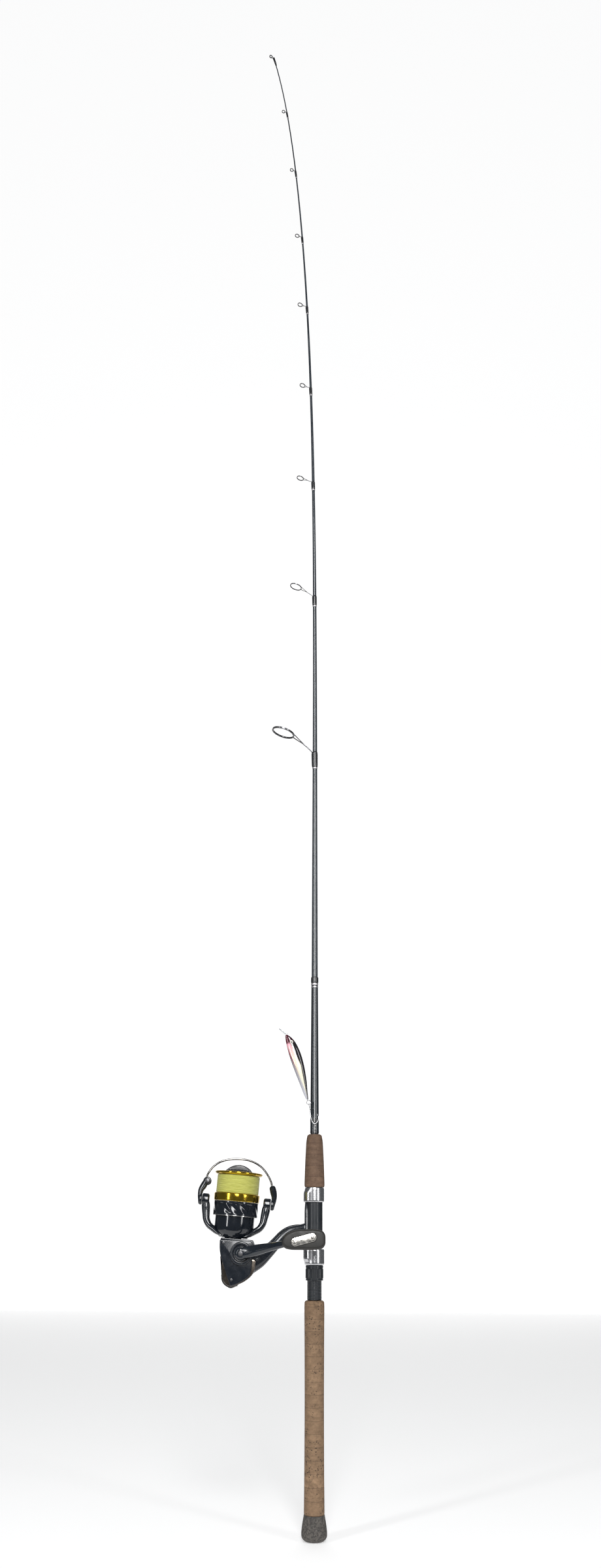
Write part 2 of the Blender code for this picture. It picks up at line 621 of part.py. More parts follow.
def make_bail(spin, look):
    pivot = empty("bail_axis", (0.0, 0.0, BAIL_PIVOT_Z), spin)
    lean = math.tan(BAIL_LEAN)
    up = 21.0
    roller_x = -37.0
    roller_y = up * lean
    arm = rod_drum("bail_arm", 6.2, -45.4, -40.8, look["gloss"], pivot, (0.0, 0.0), "X", 20)
    lever = wire(
        "bail_lever",
        [(-43.6, 0.0, 0.0), (-43.7, 2.2, 6.5), (-42.4, 3.4, 11.5), (-40.4, 4.8, 15.6), (-39.0, 5.0, 17.4)],
        [2.0, 2.3, 2.8, 2.4, 1.5], None, pivot)
    eye = rod_drum("bail_eye", 4.8, roller_y - 6.6, roller_y - 3.0, None, pivot, (roller_x, up), "Y", 16)
    screw_hole = rod_drum("bail_eye_hole", 1.65, roller_y - 9.0, roller_y - 1.0, None, pivot, (roller_x, up), "Y", 12)
    join(arm, lever, eye)
    cut(arm, screw_hole)
    smooth(arm, 30.0)
    cam = rod_drum("bail_cam", 6.2, 40.8, 45.4, look["gloss"], pivot, (0.0, 0.0), "X", 20)
    handle = wire(
        "cam_lever", [(43.6, 0.0, 0.0), (43.9, 3.0, 7.0), (43.0, 6.0, 13.0), (41.4, 8.2, 18.0)],
        [2.0, 2.5, 3.2, 3.4], None, pivot)
    join(cam, handle)
    smooth(cam, 30.0)
    lies = empty("line_roller_axis", (roller_x, roller_y, up), pivot)
    across = (math.radians(-90), 0.0, 0.0)
    roller = turned(
        "line_roller",
        [(4.0, 2.6), (3.2, 1.0), (3.2, -1.4), (4.0, -2.6), (1.65, -2.6), (1.65, 2.6)],
        look["steel"], lies, turn=across, steps=20)
    smooth(roller)
    screw = turned(
        "roller_screw", [(0.0, 5.4), (1.3, 5.4), (1.3, -6.9), (3.0, -6.9), (2.6, -8.0), (0.0, -8.0)],
        look["steel"], lies, turn=across, steps=14)
    smooth(screw)
    cap = turned(
        "bail_wire", [(0.0, 7.6), (2.0, 7.4), (4.4, 4.6), (4.4, 3.0), (1.65, 3.0), (1.65, 5.8), (0.0, 5.8)],
        look["steel"], lies, turn=across, steps=16)
    front = [(-39.0, 26.4), (-36.6, 32.4), (-31.6, 39.2), (-24.0, 44.8), (-14.0, 48.2), (-3.0, 49.5), (7.0, 49.2),
             (17.0, 46.6), (26.2, 41.4), (33.4, 33.8), (38.0, 26.8), (39.8, 22.6)]
    points = [(roller_x - 0.6, roller_y + 7.1, up + 1.4)]
    points += [(x, max(z * lean, roller_y + 7.4) if x < 0.0 else z * lean, z) for x, z in front]
    loop = wire("bail_wire_loop", points, 1.15, None, pivot)
    join(cap, loop)
    smooth(cap, 30.0)


def make_spool(reel, look):
    slide = empty("spool_slide_axis", (0.0, 0.0, 0.0), reel)
    shaft = turned("main_shaft", [(0.0, 91.0), (SHAFT_RADIUS, 91.0), (SHAFT_RADIUS, -16.5), (0.0, -16.5)],
                   look["steel"], slide, steps=16)
    smooth(shaft)
    slider = plate("slider", [(-4.4, -16.0), (4.4, -16.0), (4.4, -8.0), (-4.4, -8.0)], -3.2, 3.2, look["brass"], slide)
    hole = rod_drum("slider_hole", SHAFT_RADIUS + 0.3, -18.0, -6.0, None, slide, steps=16)
    cut(slider, hole)
    spin = empty("spool_axis", (0.0, 0.0, 0.0), slide)
    profile = [
        (21.5, 88.0), (23.5, 89.4), (27.2, 89.2), (SPOOL_LIP_RADIUS, 88.2), (SPOOL_LIP_RADIUS, 87.4),
        (26.2, 85.8), (18.0, 85.6), (18.0, 65.0), (26.1, 65.0), (26.9, 64.0), (26.6, 56.3), (26.1, 55.8),
        (26.1, 40.2), (24.7, 40.2), (24.7, 57.0), (5.0, 57.0), (5.0, 54.0), (2.1, 54.0), (2.1, 80.0),
        (12.6, 80.0), (12.6, 88.0),
    ]
    spool = turned("spool", profile, look["gold"], spin, steps=32)
    smooth(spool, 30.0)
    line = turned("spool_line", tube_profile(25.0, 18.4, 65.4, 85.2), look["line"], spin, steps=32)
    smooth(line)
    washers = turned(
        "drag_washers",
        [(12.1, 86.4), (12.1, 84.0), (11.5, 83.4), (11.5, 83.0), (12.1, 82.4), (12.1, 80.4), (2.2, 80.4), (2.2, 86.4)],
        look["felt"], slide)
    smooth(washers, 30.0)
    knob = turned(
        "drag_knob",
        [(0.0, 96.0), (5.0, 95.7), (10.0, 94.2), (14.0, 91.6), (16.0, 89.4), (16.0, 88.5), (12.0, 88.5), (11.4, 87.2),
         (2.2, 87.2), (2.2, 92.0), (0.0, 92.0)],
        look["black"], slide, steps=32)
    ridge = plate("drag_knob_ridge", [(-13.0, 90.0), (13.0, 90.0), (9.0, 95.4), (3.0, 97.2), (-3.0, 97.2),
                                      (-9.0, 95.4)], -2.6, 2.6, None, slide)
    room = rod_drum("drag_knob_room", 2.2, 84.0, 92.0, None, slide)
    join(knob, ridge)
    cut(knob, room)
    smooth(knob, 30.0)


def make_handle(reel, look):
    axle = empty("crank_axis", (AXLE_X, 0.0, AXLE_Z), reel, (0.0, -CRANK_ANGLE, 0.0))
    crank = rod_drum("crank_arm", 6.6, -30.0, -22.2, look["gloss"], axle, (0.0, 0.0), "Y", 24)
    arm = wire(
        "crank_bar",
        [(-1.0, -27.6, 0.0), (14.0, -32.0, 0.0), (30.0, -42.0, 0.0), (45.0, -52.0, 0.0), (56.0, -57.4, 0.0),
         (66.0, -59.4, 0.0), (CRANK_LENGTH, -60.0, 0.0)],
        [4.6, 5.4, 4.6, 3.9, 3.5, 3.3, 3.3], None, axle, resolution=3)
    spindle = rod_drum("knob_spindle", 2.4, -78.0, -59.0, None, axle, (CRANK_LENGTH, 0.0), "Y", 14)
    join(crank, arm, spindle)
    smooth(crank, 30.0)
    knob_axis = empty("knob_axis", (CRANK_LENGTH, 0.0, 0.0), axle, (0.0, CRANK_ANGLE - REEL_LEAN, 0.0))
    knob = plate(
        "handle_knob",
        [(-24.5, -4.6), (-21.0, -9.2), (-14.0, -10.6), (14.0, -10.6), (21.0, -9.2), (24.0, -5.0), (24.0, 5.0),
         (21.0, 9.4), (13.0, 11.0), (-9.0, 10.4), (-19.0, 6.6), (-23.6, 1.6)],
        -81.0, -64.0, look["black"], knob_axis, bevel=3.2)
    hole = rod_drum("knob_hole", 2.75, -79.0, -60.0, None, knob_axis, (0.0, 0.0), "Y", 14)
    cut(knob, hole)
    smooth(knob, 30.0)
    tilt = math.radians(-14.0)
    strip = plate("knob_plate", rounded_bar(14.2, 4.4), -82.2, -81.35, look["silver"], knob_axis, turn=(0.0, tilt, 0.0))
    smooth(strip, 30.0)


def rounded_bar(half_length, half_width):
    points = []
    for start, centre in ((-90.0, half_length - half_width), (90.0, -(half_length - half_width))):
        for i in range(9):
            angle = math.radians(start + 180.0 * i / 8)
            points.append((centre + half_width * math.cos(angle), half_width * math.sin(angle)))
    return points


def make_lure(look):
    """A slim minnow lure, hung by its tail hook on the hook keeper, nose towards the tip."""
    side = -9.0
    route = [(-35.0, 532.8), (-32.0, 528.0), (-28.0, 520.0), (-23.2, 507.0), (-18.4, 492.0), (-14.2, 477.0),
             (-11.0, 464.0), (-9.0, 457.2)]
    radii = [1.6, 4.2, 6.2, 7.2, 6.4, 4.6, 2.6, 1.4]
    points = [(x, 0.0, z) for x, z in route]
    body = wire("lure_body", points, radii, look["lure"], None, resolution=3, flatten=0.62)
    body.location.y = side * MM
    smooth(body, 50.0)
    lip = plate("lure_lip", [(-3.2, 0.0), (3.2, 0.0), (4.4, 7.0), (2.6, 10.2), (-2.6, 10.2), (-4.4, 7.0)], -0.5, 0.5,
                look["clear"], None, axis="Y")
    lip.rotation_euler = (0.0, 0.0, math.radians(90))
    holder = empty("lure_lip_place", (-36.3, side, 534.4), turn=(0.0, math.radians(-50.0), 0.0))
    lip.parent = holder
    ring = torus_ring("split_ring", 2.5, 0.5, look["steel"], (-7.3, side, 453.2), (math.radians(90), 0.0, 0.3))
    smooth(ring, 60.0)
    hook = wire(
        "lure_hook",
        [(-6.6, -0.2, 449.2), (-5.6, 0.0, 444.0), (-4.8, 0.0, 438.0), (-3.8, 0.0, 432.6), (-1.6, 0.0, 429.2),
         (1.6, 0.0, 429.0), (4.0, 0.0, 432.0), (4.4, 0.0, 436.4), (3.4, 0.0, 439.6)],
        [0.5, 0.55, 0.55, 0.55, 0.55, 0.55, 0.55, 0.5, 0.15], look["steel"])
    hook.location.y = side * MM
    smooth(hook, 60.0)


def torus_ring(name, major, minor, finish, location, turn):
    points = []
    for i in range(8):
        angle = math.tau * i / 8
        points.append((major + minor * math.cos(angle), -minor * math.sin(angle)))
    return turned(name, points, finish, None, location, turn, steps=16)


def main():
    clear_scene()
    look = finishes()
    make_blank(look["blank"])
    make_grips(look)
    make_seat(look)
    make_keeper(look)
    make_guides(look)
    make_tip_top(look)
    reel = empty("reel_frame", REEL_AT, turn=(0.0, REEL_LEAN, 0.0))
    make_reel_body(reel, look)
    make_reel_covers(reel, look)
    make_drive(reel, look)
    spin = make_rotor(reel, look)
    make_bail(spin, look)
    make_spool(reel, look)
    make_handle(reel, look)
    make_lure(look)


main()
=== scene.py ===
"""The finished look of a one-piece spinning rod with its spinning reel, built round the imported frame.

The rod stands along +Z. The reel and the guides are on its -X side, and the crank is on the -Y side.
Lengths are in millimetres times MM, and each section follows the order in which the object is put together.
"""

import math

import bmesh
import bpy
from mathutils import Matrix, Vector


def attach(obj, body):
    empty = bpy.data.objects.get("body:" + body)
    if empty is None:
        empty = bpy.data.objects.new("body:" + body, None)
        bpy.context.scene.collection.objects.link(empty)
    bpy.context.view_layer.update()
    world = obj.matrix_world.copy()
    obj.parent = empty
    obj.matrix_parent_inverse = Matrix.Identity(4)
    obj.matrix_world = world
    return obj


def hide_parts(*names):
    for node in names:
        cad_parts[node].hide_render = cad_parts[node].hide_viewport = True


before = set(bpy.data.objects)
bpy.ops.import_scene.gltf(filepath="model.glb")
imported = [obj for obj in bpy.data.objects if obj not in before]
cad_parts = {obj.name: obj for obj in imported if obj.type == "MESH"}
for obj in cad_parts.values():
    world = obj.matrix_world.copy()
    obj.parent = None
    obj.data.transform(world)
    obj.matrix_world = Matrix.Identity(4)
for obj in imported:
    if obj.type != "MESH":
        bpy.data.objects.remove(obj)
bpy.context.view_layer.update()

MM = 0.001

# ---------------------------------------------------------------------------------------------------------
# Blank. A hollow graphite tube rolled on a tapered steel mandrel, sanded and clear-coated a slate black.
# Its tip half has taken a set towards the guides. The butt end runs down through the seat and both grips.
# ---------------------------------------------------------------------------------------------------------
BLANK_LENGTH = 2282.0
BLANK_TIP_RADIUS = 0.95
BLANK_BUTT_RADIUS = 5.77
BOW_START = 850.0
BOW_MAIN = 64.0
BOW_TIP = 12.0


def blank_radius(z):
    return BLANK_TIP_RADIUS + (BLANK_BUTT_RADIUS - BLANK_TIP_RADIUS) * (1.0 - min(z / BLANK_LENGTH,
        1.0)) ** 1.5


def bow(z):
    share = max(0.0, (z - BOW_START) / (BLANK_LENGTH - BOW_START))
    return BOW_MAIN * share**3 + BOW_TIP * share**12


def station(z):
    """The place of something mounted on the blank at this height, turned along the bowed blank."""
    slope = math.atan(bow(z + 0.5) - bow(z - 0.5))
    return Matrix.Translation((-bow(z) * MM, 0.0, z * MM)) @ Matrix.Rotation(-slope, 4, "Y")


def piece(name, points, faces, finish, place=None, sharp=35.0):
    """A mesh piece from points in millimetres, smooth but for edges sharper than the given angle."""
    mesh = bpy.data.meshes.new(name)
    mesh.from_pydata([tuple(c * MM for c in point) for point in points], [], faces)
    mesh.validate()
    shape = bmesh.new()
    shape.from_mesh(mesh)
    bmesh.ops.recalc_face_normals(shape, faces=shape.faces)
    shape.to_mesh(mesh)
    shape.free()
    made = bpy.data.objects.new(name, mesh)
    bpy.context.scene.collection.objects.link(made)
    made.matrix_world = place or Matrix.Identity(4)
    mesh.materials.append(finish)
    mesh.shade_smooth()
    mesh.set_sharp_from_angle(angle=math.radians(sharp))
    return made


def skin(rows, loop=True, ends=True):
    """Faces between equal rows of points, each row a closed loop, with the first and last rows capped."""
    width = len(rows[0])
    points = [point for row in rows for point in row]
    faces = []
    for r in range(len(rows) - 1):
        for c in range(width if loop else width - 1):
            d = (c + 1) % width
            faces.append((r * width + c, r * width + d, (r + 1) * width + d, (r + 1) * width + c))
    if ends:
        last = (len(rows) - 1) * width
        faces.append(tuple(range(width))[::-1])
        faces.append(tuple(range(last, last + width)))
    return points, faces


def eased(route, per_span=6):
    """A smooth curve through points of any number of values, as a Catmull-Rom spline."""
    spots = []
    last = len(route) - 1
    for i in range(last):
        a, b, c, d = route[max(i - 1, 0)], route[i], route[i + 1], route[min(i + 2, last)]
        for k in range(per_span):
            t = k / per_span
            spots.append(tuple(
                0.5 * (2 * q + (r - p) * t + (2 * p - 5 * q + 4 * r - s) * t**2 + (
                    3 * q - p - 3 * r + s) * t**3)
                for p, q, r, s in zip(a, b, c, d)
            ))
    spots.append(tuple(route[-1]))
    return spots


def swept(name, route, finish, place=None, sides=24, boxy=2.0, across=(0.0, 1.0, 0.0), domed=True,
          sharp=40.0):
    """A bar along (x, y, z, half width across, half thickness) points. boxy over 2 squares its section."""
    count = len(route)
    centres = [Vector(spot[:3]) for spot in route]
    rows = []
    stations = list(range(count))
    if domed:
        stations = [(0, f) for f in (0.25, 0.65, 0.9)] + stations + [(count - 1, f) for f in (0.9, 0.65,
            0.25)]
    for spot in stations:
        index, shrink = spot if isinstance(spot, tuple) else (spot, 1.0)
        ahead = centres[min(index + 1, count - 1)] - centres[max(index - 1, 0)]
        ahead.normalize()
        side = Vector(across) - ahead * ahead.dot(Vector(across))
        side.normalize()
        out = side.cross(ahead)
        wide, thick = route[index][3], route[index][4]
        push = math.sqrt(max(0.0, 1.0 - shrink**2)) * min(wide, thick) * (1.0 if index else -1.0)
        row = []
        for k in range(sides):
            angle = math.tau * k / sides
            c, s = math.cos(angle), math.sin(angle)
            x = math.copysign(abs(c) ** (2.0 / boxy), c) * wide * shrink
            y = math.copysign(abs(s) ** (2.0 / boxy), s) * thick * shrink
            row.append(tuple(centres[index] + ahead * push + side * x + out * y))
        rows.append(row)
    points, faces = skin(rows)
    return piece(name, points, faces, finish, place, sharp)


def finish(name, colour, roughness, metallic=0.0, coat=0.0):
    """A Principled material, with the colour that the functions below then vary."""
    made = bpy.data.materials.new(name)
    made.use_nodes = True
    shader = made.node_tree.nodes["Principled BSDF"]
    shader.inputs["Base Color"].default_value = (*colour, 1.0)
    shader.inputs["Roughness"].default_value = roughness
    shader.inputs["Metallic"].default_value = metallic
    shader.inputs["Coat Weight"].default_value = coat
    shader.inputs["Coat Roughness"].default_value = 0.06
    return made


def node(made, kind, settings=(), **inputs):
    """A node in a material's tree. An input is a number, a colour or another node's socket."""
    new = made.node_tree.nodes.new("ShaderNode" + kind)
    for key, value in dict(settings).items():
        setattr(new, key, value)
    for key, value in inputs.items():
        socket = new.inputs[int(key[1:])] if key[0] == "i" and key[1:].isdigit(
            ) else new.inputs[key.replace("_", " ")]
        if isinstance(value, bpy.types.NodeSocket):
            made.node_tree.links.new(value, socket)
        else:
            socket.default_value = value
    return new


def spots_on(made, stretch=(1.0, 1.0, 1.0)):
    """The piece's own coordinates in metres, stretched for a grain that runs one way."""
    place = node(made, "TexCoord")
    return node(made, "Mapping", Vector=place.outputs["Object"], Scale=stretch).outputs["Vector"]


def noise(made, scale, stretch=(1.0, 1.0, 1.0), detail=4.0, rough=0.6):
    grain = node(made, "TexNoise", Vector=spots_on(made, stretch), Scale=scale, Detail=detail,
                 Roughness=rough)
    return grain.outputs["Fac"]


def between(made, fac, low, high, to_low=0.0, to_high=1.0):
    """fac moved from the range low..high to another range, and held inside it."""
    values = {"From_Min": low, "From_Max": high, "To_Min": to_low, "To_Max": to_high}
    return node(made, "MapRange", Value=fac, **values).outputs["Result"]


def blended(made, fac, first, second):
    mix = node(made, "Mix", {"data_type": "RGBA"}, i0=fac)
    for socket, value in ((mix.inputs[6], first), (mix.inputs[7], second)):
        if isinstance(value, bpy.types.NodeSocket):
            made.node_tree.links.new(value, socket)
        else:
            socket.default_value = (*value, 1.0)
    return mix.outputs[2]


def paint(made, colour):
    made.node_tree.links.new(colour, made.node_tree.nodes["Principled BSDF"].inputs["Base Color"])


def polish(made, roughness):
    made.node_tree.links.new(roughness, made.node_tree.nodes["Principled BSDF"].inputs["Roughness"])


def relief(made, height, distance, strength=1.0):
    """Bump of this height in millimetres."""
    bump = node(made, "Bump", Height=height, Distance=distance * MM, Strength=strength)
    made.node_tree.links.new(bump.outputs["Normal"], made.node_tree.nodes["Principled BSDF"].inputs["Normal"])


def smudged(made, low, high, scale=120.0):
    """Handling marks: the gloss differs a little from place to place."""
    polish(made, between(made, noise(made, scale), 0.3, 0.7, low, high))


def rings(made, pitch, stretch_noise=0.0):
    """Fine turns across Z, pitch millimetres apart, as a value from 0 to 1."""
    scale = math.tau / (20.0 * pitch * MM)
    wave = node(
        made, "TexWave", {"wave_type": "BANDS", "bands_direction": "Z", "wave_profile": "SIN"},
        Vector=spots_on(made), Scale=scale, Distortion=stretch_noise, Detail=1.0)
    return wave.outputs["Fac"]


blank_coat = finish("blank_clear_coat", (0.020, 0.026, 0.032), 0.22, coat=1.0)
scrim = between(blank_coat, noise(blank_coat, 900.0, (1.0, 1.0, 0.12)), 0.35, 0.65)
paint(blank_coat, blended(blank_coat, scrim, (0.016, 0.020, 0.026), (0.040, 0.050, 0.060)))
smudged(blank_coat, 0.16, 0.32, 60.0)

blank_heights = [10.0 + 9.0 * i for i in range(252)]
blank = swept(
    "blank_tube", [(-bow(z), 0.0, z, blank_radius(z), blank_radius(z)) for z in blank_heights], blank_coat,
    sides=32)
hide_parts("blank")
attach(blank, "root")

# ---------------------------------------------------------------------------------------------------------
# Butt cap. A moulded cup of ground cork and rubber glued over the end of the blank, matt and dark grey.
# It is wider than the grip so that the rod can be stood on it or held in a belt.
# ---------------------------------------------------------------------------------------------------------
CAP_TOP = 24.4


def lathe(name, profile, made, place=None, segments=72, sharp=35.0):
    """A turned piece about Z from (radius, height) points, from its top down the outside. Radius 0 closes it."""
    rows = []
    for radius, height in profile:
        rows.append([
            (radius * math.cos(math.tau * k / segments), radius * math.sin(math.tau * k / segments), height)
            for k in range(segments)
        ])
    open_bore = profile[0][0] > 0.0 and profile[-1][0] > 0.0
    if open_bore:
        rows.append(rows[0])
    points, faces = skin(rows, ends=False)
    turned = piece(name, points, [face[::-1] for face in faces], made, place, sharp)
    weld = turned.modifiers.new("seam", "WELD")
    weld.merge_threshold = 0.000001
    return turned


def rounded(outline, radius, closed=True, steps=4):
    """An outline of 2-D points with each corner cut back to an arc. radius is one value, or one per corner."""
    count = len(outline)
    made = []
    for i in range(count):
        here = Vector(outline[i])
        if not closed and i in (0, count - 1):
            made.append(tuple(here))
            continue
        before, after = Vector(outline[i - 1]), Vector(outline[(i + 1) % count])
        one, two = (before - here), (after - here)
        limit = min(one.length, two.length) * 0.48
        back = min(radius[i] if isinstance(radius, (list, tuple)) else radius, limit)
        start, end = here + one.normalized() * back, here + two.normalized() * back
        for k in range(steps + 1):
            t = k / steps
            made.append(tuple(start * (1 - t) ** 2 + here * 2 * t * (1 - t) + end * t**2))
    return made


butt_mix = finish("butt_composite", (0.055, 0.050, 0.046), 0.85)
crumbs = node(butt_mix, "TexVoronoi", Vector=spots_on(butt_mix), Scale=700.0)
speck = between(butt_mix, crumbs.outputs["Color"], 0.2, 0.9)
paint(butt_mix, blended(butt_mix, speck, (0.040, 0.037, 0.034), (0.105, 0.095, 0.085)))
relief(butt_mix, noise(butt_mix, 900.0), 0.25, 0.8)

cap_outline = rounded(
    [(11.3, CAP_TOP), (13.2, 14.5), (14.0, 8.0), (13.7, 3.4), (9.8, 0.0), (0.0, 0.0)], [0.6, 4, 4, 3, 3, 0],
    closed=False)
butt = lathe("butt_cup", [(0.0, 9.4), (6.0, 9.4), (6.0, CAP_TOP - 0.5), (6.6, CAP_TOP)] + cap_outline,
             butt_mix)
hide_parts("butt_cap")
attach(butt, "root")

# ---------------------------------------------------------------------------------------------------------
# Grips. Cork rings about 12.7 mm tall, glued in a stack, bored for the blank and turned to shape on a lathe.
# The rear grip is pitted, handled cork; the fore grip is a finer, redder cork.
# ---------------------------------------------------------------------------------------------------------
CORK_RING = 12.7


def cork(name, dark, light, pit, pits, pit_scale):
    """Bare cork: a mottled tone that steps from ring to ring, glue lines, and dark sunken pits."""
    made = finish(name, light, 0.82)
    base = blended(made, between(made, noise(made, 140.0, (1, 1, 1.6), 8.0, 0.7), 0.32, 0.68), dark, light)
    height = node(made, "SeparateXYZ", Vector=spots_on(made)).outputs["Z"]
    turn = node(made, "Math", {"operation": "DIVIDE"}, i0=height, i1=CORK_RING * MM).outputs["Value"]
    ring = node(made, "Math", {"operation": "FLOOR"}, i0=turn).outputs["Value"]
    tone = node(made, "TexWhiteNoise", {"noise_dimensions": "1D"}, W=ring).outputs["Value"]
    base = blended(made, between(made, tone, 0.0, 1.0, 0.0, 0.42), base, dark)
    part = node(made, "Math", {"operation": "FRACT"}, i0=turn).outputs["Value"]
    seam = node(made, "Math", {"operation": "PINGPONG"}, i0=part, i1=0.5).outputs["Value"]
    line = between(made, seam, 0.0, 0.035, 0.55, 0.0)
    base = blended(made, line, base, pit)
    cells = node(made, "TexVoronoi", Vector=spots_on(made, (1.0, 1.0, 1.5)), Scale=pit_scale,
                 Randomness=1.0)
    wobble = noise(made, 1500.0)
    depth = node(made, "Math", {"operation": "ADD"}, i0=cells.outputs["Distance"], i1=between(
        made, wobble, 0.3, 0.7, -0.12, 0.12)).outputs["Value"]
    holes = between(made, depth, pits, pits + 0.12, 1.0, 0.0)
    chance = between(made, noise(made, 75.0, (1, 1, 1), 2.0), 0.46, 0.60)
    holes = node(made, "Math", {"operation": "MULTIPLY"}, i0=holes, i1=chance).outputs["Value"]
    paint(made, blended(made, holes, base, pit))
    fine = between(made, noise(made, 2200.0), 0.3, 0.7, 0.0, 0.25)
    level = node(made, "Math", {"operation": "SUBTRACT"}, i0=fine, i1=holes).outputs["Value"]
    relief(made, level, 0.35, 0.9)
    return made


rear_cork = cork("rear_cork", (0.140, 0.086, 0.048), (0.315, 0.200, 0.115), (0.035, 0.022, 0.014), 0.20,
                 330.0)
fore_cork = cork("fore_cork", (0.095, 0.056, 0.035), (0.205, 0.124, 0.078), (0.040, 0.020, 0.013), 0.12,
                 420.0)

GRIP_TOP = 234.7
FORE_BOTTOM = 356.7
FORE_TOP = 416.8
rear_outline = rounded(
    [(9.4, GRIP_TOP), (11.3, 233.4), (11.5, 228.0), (11.1, 192.0), (10.7, 127.0), (10.85, 64.0), (11.2,
        26.0),
     (10.9, CAP_TOP + 0.4)], [0, 1.2, 4, 20, 20, 20, 0.8, 0], closed=False, steps=6)
rear_grip = lathe("rear_grip_cork", [(6.1, GRIP_TOP)] + rear_outline + [(6.1, CAP_TOP + 0.4)], rear_cork,
                  segments=96)
fore_outline = rounded(
    [(6.6, FORE_TOP), (8.6, 415.6), (9.9, 409.0), (11.0, 388.0), (11.9, 362.0), (11.9, 358.2), (11.0,
        FORE_BOTTOM)],
    [0, 2.5, 5, 12, 6, 1.2, 0], closed=False, steps=6)
fore_grip = lathe("fore_grip_cork", [(5.3, FORE_TOP)] + fore_outline + [(5.3, FORE_BOTTOM)], fore_cork,
                  segments=96)
for grip, cad_name, slot_name in ((rear_grip, "rear_grip", "cork"), (fore_grip, "fore_grip", "cork_fine")):
    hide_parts(cad_name)
    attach(grip, "root")

# ---------------------------------------------------------------------------------------------------------
# Reel seat. A graphite-filled nylon barrel glued on the blank: a smooth upper half that the reel foot lies on,
# and a threaded lower half for the locking nut.
# ---------------------------------------------------------------------------------------------------------
SEAT_BOTTOM = 235.1
SEAT_TOP = 356.2
SEAT_RADIUS = 9.5
BARREL_RADIUS = 8.5
THREAD_PITCH = 1.5
THREAD_TOP = 295.0

seat_nylon = finish("seat_nylon", (0.010, 0.013, 0.017), 0.42, coat=0.15)
paint(seat_nylon, blended(seat_nylon, noise(seat_nylon, 300.0), (0.007, 0.009, 0.012), (0.016, 0.020,
    0.025)))
smudged(seat_nylon, 0.30, 0.50)
relief(seat_nylon, noise(seat_nylon, 2500.0), 0.05, 0.5)

seat_outline = rounded(
    [(SEAT_RADIUS, SEAT_TOP), (SEAT_RADIUS, THREAD_TOP + 1.2), (BARREL_RADIUS, THREAD_TOP), (7.9,
        THREAD_TOP)],
    [0.3, 0.5, 0.2, 0], closed=False)
seat_tube = lathe("seat_barrel", [(5.6, SEAT_TOP)] + seat_outline + [(5.6, THREAD_TOP)], seat_nylon,
                  segments=80)
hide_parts("reel_seat")

thread_rows = []
sides = 64
levels = int((THREAD_TOP - SEAT_BOTTOM) / (THREAD_PITCH / 6.0))
for level in range(levels + 1):
    z = SEAT_BOTTOM + (THREAD_TOP - SEAT_BOTTOM) * level / levels
    row = []
    for k in range(sides):
        phase = (z / THREAD_PITCH - k / sides) % 1.0
        radius = BARREL_RADIUS - 0.45 * abs(2.0 * phase - 1.0)
        if z < SEAT_BOTTOM + 1.0:
            radius = min(radius, BARREL_RADIUS - 0.45 + 0.45 * (z - SEAT_BOTTOM))
        row.append((radius * math.cos(math.tau * k / sides), radius * math.sin(math.tau * k / sides), z))
    thread_rows.append(row)
seat_thread = piece("seat_thread", *skin(thread_rows), seat_nylon, sharp=70.0)
for made in (seat_tube, seat_thread):
    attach(made, "root")

# ---------------------------------------------------------------------------------------------------------
# Hoods and locking nut. Two polished aluminium hoods hold the ends of the reel foot. The upper one is fixed,
# and the ribbed nylon nut drives the lower one up the thread.
# ---------------------------------------------------------------------------------------------------------
HOOD_RADIUS = 11.6
FOOT_OUTER = 11.9
FOOT_BOTTOM = 277.8
FOOT_TOP = 350.2
UPPER_HOOD_BOTTOM = 340.2
LOWER_HOOD_BOTTOM = 272.25
LOWER_HOOD_TOP = 289.0
NUT_BOTTOM = 255.6
NUT_TOP = 271.9
POCKET_ANGLE = math.radians(40.0)

hood_metal = finish("hood_metal", (0.65, 0.65, 0.66), 0.24, metallic=1.0)
brushed = noise(hood_metal, 500.0, (0.15, 0.15, 6.0), 3.0)
polish(hood_metal, between(hood_metal, brushed, 0.3, 0.7, 0.20, 0.28))
paint(hood_metal, blended(hood_metal, noise(hood_metal, 90.0), (0.62, 0.62, 0.64), (0.68, 0.68, 0.69)))


def eased_step(value, low, high):
    t = min(1.0, max(0.0, (value - low) / (high - low)))
    return t * t * (3.0 - 2.0 * t)


